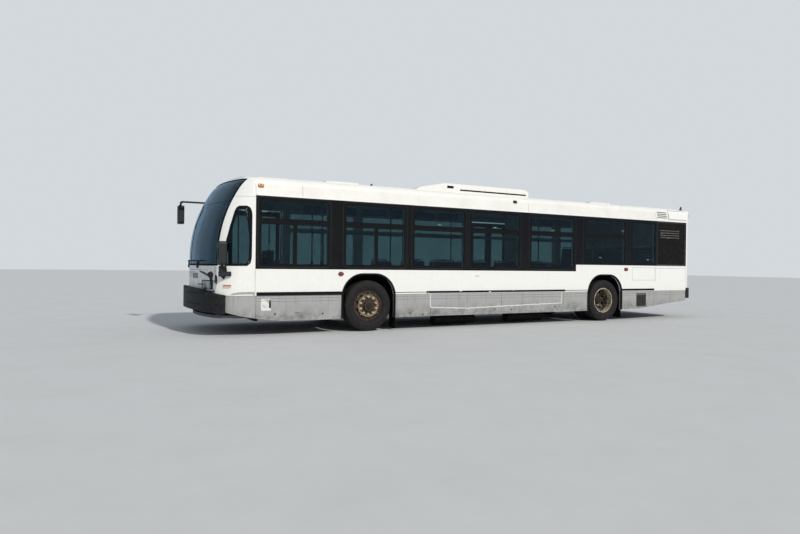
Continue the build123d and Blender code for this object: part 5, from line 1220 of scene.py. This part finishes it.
plainPiece("rearLouvres", louvrePaint, lofts=louvreBlades(rearLouvre, -0.818, 0.818))
plainPiece("rearGrilleFrame", framePaint,
           tubes=[((rearFace, y, z), (rearFace - 0.005, y, z), 0.012, 14, 0.010)
                  for y in (-0.93, -0.31, 0.31, 0.93) for z in (1.690, 2.490)],
           strips=[(flatPath(roundedLoop(-0.968, 0.968, 1.652, 2.528, 0.02), 0, rearFace, -1),
                    0.026, 0.005, 0.001, True)])
for side, sign in bothSides:
    plainPiece("engineDoorLouvres_" + side, louvrePaint,
               lofts=louvreBlades(doorLouvre, 0.182 * sign, 0.818 * sign), body="engine_door")
latches = [((rearFace - 0.006, 0.57, 0.862), (rearFace, 0.67, 0.902)),
           ((rearFace - 0.014, 0.602, 0.870), (rearFace - 0.006, 0.638, 0.894))]
plateBack = ((rearFace - 0.004, -0.27, 0.900), (rearFace, 0.27, 1.060))
plate = ((rearFace - 0.0055, -0.155, 0.915), (rearFace - 0.0042, 0.155, 1.045))
plainPiece("engineDoorLatches", blackPlastic, [*mirrored(latches), plateBack], body="engine_door",
           bevel=0.002)
plainPiece("blankRearPlate", whitePlastic, [plate], body="engine_door", bevel=0.0008)
straps = [((rearFace - 0.003, y - 0.008, 1.44), (rearFace, y + 0.008, 1.525)) for y in (0.58176, 0.61776)]
plainPiece("engineDoorStraps", aluminium, mirrored(straps), body="engine_door", bevel=0.001)
ring = ((0.001, 0.062), (-0.006, 0.061), (-0.009, 0.0555), (-0.0085, 0.0525), (0.0, 0.0523))  # depth, radius
plainPiece("tailLampRings", trimRubber, lofts=[
    ([[(rearFace + dx, y + u, z + w) for u, w in circle(r, 32)] for dx, r in ring], True, ())
    for y in (-1.120, 1.120) for z in (0.900, 1.030, 1.160, 1.290)], smooth=True, angle=30)
plainPiece("tailLampPanels", fasciaPaint,
           mirrored([((rearFace - 0.0006, 1.035, 0.820), (rearFace + 0.001, 1.205, 1.370))]), bevel=0.0003)
plainPiece("rearHighLamps", redLens,
           mirrored([((rearFace - 0.010, 0.26, 2.592), (rearFace + 0.002, 0.34, 2.622))])
           + [((rearFace - 0.012, -0.16, 2.585), (rearFace + 0.002, 0.16, 2.630))], bevel=0.003)
plainPiece("rearJoints", trimRubber, [((rearFace - 0.0005, -half, z0), (rearFace + 0.001, half, z1))
                                      for half, z0, z1 in ((0.99, 1.598, 1.602), (1.10, 0.780, 0.783))])
plainPiece("rearBumperGrooves", trimRubber,
           [((-6.2649, -0.98, z - 0.006), (-6.262, 0.98, z + 0.006)) for z in (0.555, 0.715)])
print("rear done")


# tyres: grooved tread, cut shoulders, beads, and rings round the sidewall

tyre = {"steps": 160, "groove": 0.011, "grooveHalf": 0.0055, "grooves": (-0.088, -0.031, 0.031, 0.088),
        "shoulderCut": 0.007}


def tyreSection():
    # (distance from the middle plane, radius), from the bead over the sidewall's rings to the shoulder
    half = [(0.110, 0.2868), (0.110, 0.2992), (0.124, 0.3040), (0.134, 0.3085), (0.140, 0.3230),
            (0.1435, 0.3250), (0.1435, 0.3290), (0.1445, 0.3400), (0.1475, 0.3480), (0.1460, 0.3500),
            (0.1500, 0.3640), (0.1522, 0.3850), (0.1528, 0.3870), (0.1512, 0.3900), (0.1500, 0.4100),
            (0.1475, 0.4250), (0.1497, 0.4280), (0.1492, 0.4330), (0.1455, 0.4400), (0.1380, 0.4680),
            (0.1240, 0.4790), (0.1100, 0.4845)]
    section = [(-a, r) for a, r in half]
    for groove in tyre["grooves"]:
        edge = 0.4895 - abs(groove) * 0.030
        w = tyre["grooveHalf"]
        section += [(groove - w, edge), (groove - w * 0.6, edge - tyre["groove"]),
                    (groove + w * 0.6, edge - tyre["groove"]), (groove + w, edge)]
    return section + half[::-1]


tyrePlaces = (  # name, middle plane, axle, body, CAD node that it stands for
    ("tyreFrontLeft", 1.113, "front", "front_left_wheel", "tyre_front_left"),
    ("tyreFrontRight", -1.113, "front", "front_right_wheel", "tyre_front_right"),
    ("tyreRearLeftOuter", 1.113, "rear", "rear_left_wheels", "tyres_rear_left"),
    ("tyreRearLeftInner", 0.770, "rear", "rear_left_wheels", None),
    ("tyreRearRightOuter", -1.113, "rear", "rear_right_wheels", "tyres_rear_right"),
    ("tyreRearRightInner", -0.770, "rear", "rear_right_wheels", None),
)
section = tyreSection()
for name, y, axle, body, stands in tyrePlaces:
    x = axles[axle]
    bm = bmesh.new()
    for i, ring in enumerate(latheInto(bm, section, (x, y, axleZ), tyre["steps"])):
        for vert, (a, r) in zip(ring, section):
            if i % 4 == 0 and abs(a) > 0.10 and r > 0.465:
                out = Vector((vert.co.x - x, 0, vert.co.z - axleZ)).normalized()
                vert.co -= out * tyre["shoulderCut"]
    piece = finishMesh(name, bm, tyreRubber, body, smooth=True, angle=28)
    if stands:
        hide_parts(stands)

# wheel nuts on their studs, hub caps with screws, valves
wheelNut = {"count": 10, "circle": 0.1675, "acrossFlats": 0.033, "height": 0.024, "washer": 0.005,
            "stud": 0.0105}
nutTop = wheelNut["washer"] + wheelNut["height"]
nutParts = (  # near and far end, radius, sides
    (0.0, wheelNut["washer"], 0.024, 20), (wheelNut["washer"], nutTop, wheelNut["acrossFlats"] / 1.732, 6),
    (0.02, 0.038, wheelNut["stud"], 12))
capShape = (  # distance, share of the cap's radius, and what is added to it
    (0.0, 1.0, 0.012), (0.008, 1.0, 0.012), (0.010, 1.0, 0), (0.026, 0.97, 0), (0.034, 0.86, 0),
    (0.036, 0.5, 0), (0.036, 0, 0.001))
valve = {"circle": circle(0.262, 9, 1), "y": (1.195, 1.236), "radius": 0.0045}  # 40 degrees up from level
hubs = {"front": (1.2525, 1.2800, 0.062, "wheel"), "rear": (0.9595, 1.0545, 0.088, "wheels")}
for side, sign in bothSides:
    for axle, (faceY, capY, capRadius, ending) in hubs.items():
        x, label, body = axles[axle], axle + "_" + side, axle + "_" + side + "_" + ending
        plainPiece("wheelNuts_" + label, nutSteel, (),
                   [(*[(x + u, (faceY + away) * sign, axleZ + w) for away in ends], radius, sides)
                    for u, w in circle(wheelNut["circle"], wheelNut["count"], 0.5)
                    for *ends, radius, sides in nutParts], body=body, bevel=0.0012)
        bm = bmesh.new()
        profile = [(a * sign, capRadius * share + extra) for a, share, extra in capShape]
        latheInto(bm, profile, (x, capY * sign, axleZ), 48)
        for u, w in circle(capRadius + 0.004, 6):
            ends = [(x + u, (capY + away) * sign, axleZ + w) for away in (0.006, 0.013)]
            tubeInto(bm, *ends, 0.007, 6)
        finishMesh("hubCap_" + label, bm, castIron, body, smooth=True, angle=40)
        cx, cz = x + valve["circle"][0][0], axleZ + valve["circle"][0][1]
        near, far = [y * sign for y in valve["y"]]
        stem = ((cx, near, cz), (cx + 0.006, far, cz + 0.005), valve["radius"], 10)
        plainPiece("valve_" + label, stainless, (), [stem], body=body)

rims = (  # name, axle, ending of the body's name, paint, profile as (distance from the middle, radius)
    ("rimEdge_", "rear", "_wheels", creamRim,
     [(1.2351, 0.2960), (1.2360, 0.2940), (1.2360, 0.2780), (1.2345, 0.2750), (1.1100, 0.2708),
      (1.1100, 0.2735)]),
    ("hubRing_", "front", "_wheel", chippedRing,
     [(1.2520, 0.2180), (1.2580, 0.2180), (1.2610, 0.2140), (1.2600, 0.2080), (1.2545, 0.1980),
      (1.2545, 0.1200), (1.2520, 0.1200)]),
)
for side, sign in bothSides:
    for name, axle, ending, material, profile in rims:
        bm = bmesh.new()
        latheInto(bm, [(y * sign, r) for y, r in profile], (axles[axle], 0, axleZ))
        label = axle + "_" + side
        finishMesh(name + label, bm, material, label + ending, smooth=True, angle=30)
print("wheels done")


# interior: cushions first, one simulated seat pad and one back pad that all the places share

passengerRows = ((1.9, 0.370, 1, 1), (1.1, 0.370, 1, 1), (0.3, 0.370, 1, 1), (-0.5, 0.370, 1, 1),
                 (-1.3, 0.370, 1, 0), (-4.05, 0.800, 1, 1), (-4.75, 0.800, 1, 1))  # x, floor, left, right
cushion = {"seat": (0.350, 0.385, 0.030), "back": (0.430, 0.385, 0.026), "voxel": 0.006,
           "quickVoxel": 0.016, "pressure": 4.0, "cap": 0.012, "frames": 20, "faces": 2600,
           "placeY": (0.585, 1.005)}


def makeCushion(name, length, width, thick):
    # a pad cut a little small, blown up with cloth, held flat where it rests on its shell
    bm = bmesh.new()
    outline = roundedLoop(-length / 2, length / 2, -width / 2, width / 2, 0.055, 6)
    layers = ((0.0, 0.008), (thick * 0.35, 0.0), (thick * 0.7, 0.004), (thick, 0.022))  # height, inset
    rings = loftInto(bm, [[(x * (1 - 2 * inset / length), y * (1 - 2 * inset / width), z) for x, y in outline]
                          for z, inset in layers], caps=())
    bm.faces.new(rings[0][::-1])
    bm.faces.new(rings[-1])
    mesh = bpy.data.meshes.new(name)
    bm.to_mesh(mesh)
    bm.free()
    pad = bpy.data.objects.new(name, mesh)
    bpy.context.scene.collection.objects.link(pad)
    remesh = pad.modifiers.new("remesh", "REMESH")
    remesh.mode = "VOXEL"
    remesh.voxel_size = cushion["voxel"]
    shaped = bpy.data.meshes.new_from_object(pad.evaluated_get(bpy.context.evaluated_depsgraph_get()))
    pad.modifiers.clear()
    pad.data = shaped
    rest = [v.co.copy() for v in shaped.vertices]
    cloth = pad.modifiers.new("cloth", "CLOTH")
    cloth.settings.use_pressure = True
    cloth.settings.uniform_pressure_force = cushion["pressure"]
    cloth.settings.effector_weights.gravity = 0
    for step in range(1, cushion["frames"] + 1):
        bpy.context.scene.frame_set(step)
    blown = pad.evaluated_get(bpy.context.evaluated_depsgraph_get())
    moved = [v.co.copy() for v in blown.data.vertices]
    pad.modifiers.clear()
    bpy.context.scene.frame_set(1)
    for vert, start, end in zip(shaped.vertices, rest, moved):
        step = end - start
        if step.length > cushion["cap"]:
            step = step.normalized() * cushion["cap"]
        vert.co = start + step
    for vert in shaped.vertices:
        vert.co.z = max(0.0, vert.co.z)
    subdivide = pad.modifiers.new("subdivide", "SUBSURF")
    subdivide.levels = 1
    reduce = pad.modifiers.new("reduce", "DECIMATE")
    reduce.ratio = min(1.0, cushion["faces"] / (len(shaped.polygons) * 8))
    final = bpy.data.meshes.new_from_object(pad.evaluated_get(bpy.context.evaluated_depsgraph_get()))
    bpy.data.objects.remove(pad)
    final.name = name
    for face in final.polygons:
        face.use_smooth = True
    return final


def placeCushion(name, shape, centre, along, material):
    # "along" is the pad's long axis in the bus's side plane; returns how the pad is turned
    copy = shape.copy()
    ahead = Vector((along[0], 0, along[1]))
    up = Vector((-along[1], 0, along[0])) if along[0] > 0.5 else Vector((along[1], 0, -along[0]))
    matrix = Matrix((ahead, up.cross(ahead), up)).transposed()
    copy.transform(Matrix.Translation(centre) @ matrix.to_4x4())
    copy.materials.clear()
    copy.materials.append(material)
    piece = bpy.data.objects.new(name, copy)
    bpy.context.scene.collection.objects.link(piece)
    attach(piece, "body")
    return matrix


seatShape = makeCushion("seatPad", *cushion["seat"])
backShape = makeCushion("backPad", *cushion["back"])
welts = bmesh.new()
for row, (x, floorZ, left, right) in enumerate(passengerRows):
    for sign, there in ((1, left), (-1, right)):
        for k, y in enumerate(cushion["placeY"]):
            if not there:
                continue
            label = str(row) + ("L" if sign == 1 else "R") + str(k)
            seatAt = Vector((x + 0.250, y * sign, floorZ + 0.4615))
            backAt = Vector((x + 0.0315, y * sign, floorZ + 0.712))
            seatAxis = Vector((0.998, 0.054)).normalized()
            backAxis = Vector((-0.110, 0.994)).normalized()
            for kind, shape, centre, axis, size, fill in (
                    ("seatPad_", seatShape, seatAt, seatAxis, cushion["seat"], 0.7),
                    ("backPad_", backShape, backAt, backAxis, cushion["back"], 0.6)):
                turned = placeCushion(kind + label, shape, centre, axis, seatCloth)
                loop = roundedLoop(-size[0] / 2, size[0] / 2, -size[1] / 2, size[1] / 2, 0.055, 4)
                path = [(centre + turned @ Vector((px * 1.02, py * 1.02, 0.004)), turned @ Vector((0, 0, 1)))
                        for px, py in loop]
                stripInto(welts, path, 0.008, 0.008, 0.003, True, 0.5)
finishMesh("cushionWelts", welts, driverCloth)
placeCushion("driverSeatPad", seatShape, Vector((5.190, 0.640, 0.9200)), Vector((0.998, 0.054)).normalized(),
             driverCloth)
placeCushion("driverBackPad", backShape, Vector((4.9880, 0.640, 1.215)), Vector((-0.146, 0.989)).normalized(),
             driverCloth)
print("cushions done")

# seat fittings, ceiling lights, blank poster frames, release handles, step nosings and the driver's things
bars = []
for x, floorZ, *sides in passengerRows:
    barX, top = x + 0.004, floorZ + 0.992
    for sign, there in zip((1, -1), sides):
        if there:
            bars += [((barX, y * sign, top - 0.01), (barX, y * sign, top + 0.035), 0.012, 12)
                     for y in (0.44, 1.15)]
            bars += [((barX, 0.43 * sign, top + 0.030), (barX, 1.16 * sign, top + 0.030), 0.013, 14),
                     ((x + 0.40, 0.372 * sign, floorZ + 0.002), (x + 0.40, 0.372 * sign, floorZ + 0.43),
                      0.016, 14)]
plainPiece("seatGrabBars", whitePlastic, (), bars)
lampSection = ((0.640, 2.7600), (0.670, 2.7380), (0.850, 2.7300), (0.880, 2.7480))  # y, z
plainPiece("ceilingLamps", diffuser, lofts=[
    ([[(x, y * sign, z) for y, z in lampSection] for x in ends],)
    for sign in (1, -1) for ends in ((3.75, 1.95), (1.85, 0.05), (-0.05, -1.85), (-2.30, -4.60))])
poster = {"x": (4.35, 2.95, 1.50, 0.13, -1.45, -3.05, -4.40), "z": (2.425, 2.585), "face": 1.196,
          "half": 0.30}
posters, frames = [], []
for sign in (1, -1):
    for x in [x + slot for x in poster["x"] if sign == 1 or not (-2.2 < x < -0.8 or x > 4.0)
              for slot in (-0.34, 0.34)]:
        (x0, x1), (z0, z1), y = (x - poster["half"], x + poster["half"]), poster["z"], poster["face"] * sign
        posters.append(((x0, y, z0), (x1, y + 0.004 * sign, z1)))
        path = flatPath(roundedLoop(x0, x1, z0, z1, 0.006, 2), 1, y, -sign)
        frames.append((path, 0.014, 0.006, 0.004, True))
plainPiece("blankPosters", blankPoster, posters)
plainPiece("posterFrames", aluminium, strips=frames)
places = ((-2.93, 1.51), (-4.56, 1.48), (-3.67, 2.17), (1.54, 2.10), (0.14, 2.10), (-1.46, 2.10))
plainPiece("windowReleaseHandles", whitePlastic,
           [((x - 0.045, 1.2760, z - 0.014), (x + 0.045, 1.2875, z + 0.014)) for x, z in places],
           [((x - 0.03, 1.262, z), (x + 0.03, 1.262, z), 0.009, 12) for x, z in places]
           + [((x + dx, 1.262, z), (x + dx, 1.277, z), 0.007, 10)
              for x, z in places for dx in (-0.03, 0.03)], bevel=0.002)
nosings = []
for x, z in ((-2.200, 0.800), (-1.900, 0.585)):
    nosings += [((x - 0.045, -0.39, z), (x + 0.003, 0.39, z + 0.004)),
                ((x, -0.39, z - 0.030), (x + 0.004, 0.39, z + 0.004))]
    nosings += [((x + dx, -0.38, z + 0.0035), (x + dx + 0.005, 0.38, z + 0.0060))
                for dx in cross(-0.040, -0.010, 4)]
plainPiece("stepNosings", nosingYellow, nosings, bevel=0.001)
clamps, collars = [], []
for x, z in ((3.7, 0.370), (1.86, 0.370), (0.26, 0.370), (-1.34, 0.370), (-2.4, 0.800), (-4.3, 0.800)):
    clamps.append(((x - 0.020, 0.276, 1.26), (x + 0.020, 0.324, 1.335)))
    collars += [((x, 0.300, z), (x, 0.300, z + 0.006), 0.045, 24, 0.042),
                ((x, 0.300, z + 0.006), (x, 0.300, z + 0.030), 0.026, 20, 0.022),
                ((x, 0.300, 1.915), (x, 0.300, 1.985), 0.0225, 20)]
plainPiece("stanchionFittings", blackPlastic, mirrored(clamps), mirrored(collars), bevel=0.002)
plainPiece("driverPartition", liningPanel, [((4.780, 0.36, 0.372), (4.800, 1.22, 1.30))],
           [((4.790, 0.35, 0.372), (4.790, 0.35, 2.05), 0.016, 14),
            ((4.790, 0.35, 1.32), (4.790, 1.22, 1.32), 0.014, 14),
            ((4.790, 0.35, 2.05), (4.790, 1.25, 2.05), 0.014, 14)], bevel=0.004)
plainPiece("farebox", greyPlasticAndPressingShade,
           [((5.25, -0.49, 0.370), (5.47, -0.23, 1.02)), ((5.23, -0.51, 1.02), (5.49, -0.21, 1.14))],
           [((5.36, -0.36, 1.14), (5.36, -0.36, 1.20), 0.07, 24, 0.05)], bevel=0.012)
plainPiece("dashboardDials", blackPlastic,
           [((5.66, y, 1.178), (5.68, y + 0.016, 1.187)) for y in cross(0.905, 1.073, 8)],
           [((5.700, y, 1.181), (5.706, y, 1.188), 0.036, 24) for y in (0.44, 0.56, 0.68, 0.80)], bevel=0.002)
print("interior done")


# underneath: bellows, tank straps and brake chambers

rib = ((0.100, -0.014), (0.112, -0.008), (0.116, 0.0), (0.112, 0.008), (0.100, 0.014))  # radius, height
plainPiece("bellowsRibs", trimRubber, lofts=[
    ([[(axles["rear"] + u, y + w, z + dz) for u, w in circle(r, 32)] for r, dz in rib], True, ())
    for y in (-0.30, 0.30) for z in (0.640, 0.680, 0.720)], smooth=True, angle=60)
outward = [Vector((0, u, w)) for u, w in circle(1, 24)]
plainPiece("tankStraps", chassisPaint, strips=[
    ([(Vector((x, y, 0.152)) + normal * 0.110, normal) for normal in outward], 0.030, 0.003, 0.001, True)
    for x in (0.6, 1.2, -1.3, -0.7) for y in (0.82, -0.82)])
plainPiece("brakeChambers", chassisPaint, (),
           mirrored([((-2.86, 0.48, 0.50), (-2.70, 0.48, 0.54), 0.075, 28, 0.068),
                     ((-2.98, 0.48, 0.49), (-2.86, 0.48, 0.50), 0.018, 14)]), smooth=True, angle=40)
print("underside done")


# the plain studio: a pale floor, a soft sky, and one broad sun

floorMesh = bpy.data.meshes.new("studioFloor")
bm = bmesh.new()
bmesh.ops.create_grid(bm, x_segments=1, y_segments=1, size=90)
bm.to_mesh(floorMesh)
bm.free()
studioFloor = bpy.data.objects.new("studioFloor", floorMesh)
bpy.context.scene.collection.objects.link(studioFloor)
# power-trowelled screed: smooth, faint clouds
floorMesh.materials.append(grainedFinish("trowelledPaleConcrete", {
    "base": "#c9cbcc", "speck": "#c4c6c6", "grain": 900, "share": 0.8, "rough": 0.8, "depth": 0.02,
    "drift": 0.985}))

studio = {"sky": "#e2e8ef", "skyStrength": 0.55, "mirrored": "#a4c0dc", "mirroredStrength": 0.62,
          "backdrop": "#d3d8dc", "sun": 2.42, "sunColour": "#fffaf3", "sunFrom": (-0.25, 0.95, 0.82),
          "sunAngle": 3.0}
world = bpy.data.worlds.new("studio")
bpy.context.scene.world = world
world.use_nodes = True
tree = world.node_tree
tree.nodes.clear()
rays = addNode(tree, "LightPath")
seen = addNode(tree, "Math", {0: rays.outputs["Is Camera Ray"], 1: rays.outputs["Is Transmission Ray"]},
               operation="MAXIMUM")
soft = addNode(tree, "Background", {"Color": hexToLinear(studio["sky"]), "Strength": studio["skyStrength"]})
plain = addNode(tree, "Background", {"Color": hexToLinear(studio["backdrop"]), "Strength": 1.0})
# glass and gloss mirror a clear bluish sky
clear = addNode(tree, "Background", {"Color": hexToLinear(studio["mirrored"]),
                                     "Strength": studio["mirroredStrength"]})
lit = addNode(tree, "MixShader", {0: rays.outputs["Is Glossy Ray"], 1: soft, 2: clear})
both = addNode(tree, "MixShader", {0: seen, 1: lit, 2: plain})
addNode(tree, "OutputWorld", {"Surface": both})
sunData = bpy.data.lights.new("sun", "SUN")
sunData.energy = studio["sun"]
sunData.angle = math.radians(studio["sunAngle"])
sunData.color = hexToLinear(studio["sunColour"])[:3]
sun = bpy.data.objects.new("sun", sunData)
sun.matrix_world = Vector(studio["sunFrom"]).to_track_quat("Z", "Y").to_matrix().to_4x4()
bpy.context.scene.collection.objects.link(sun)
bpy.context.scene.view_settings.view_transform = "Standard"
print("studio done")
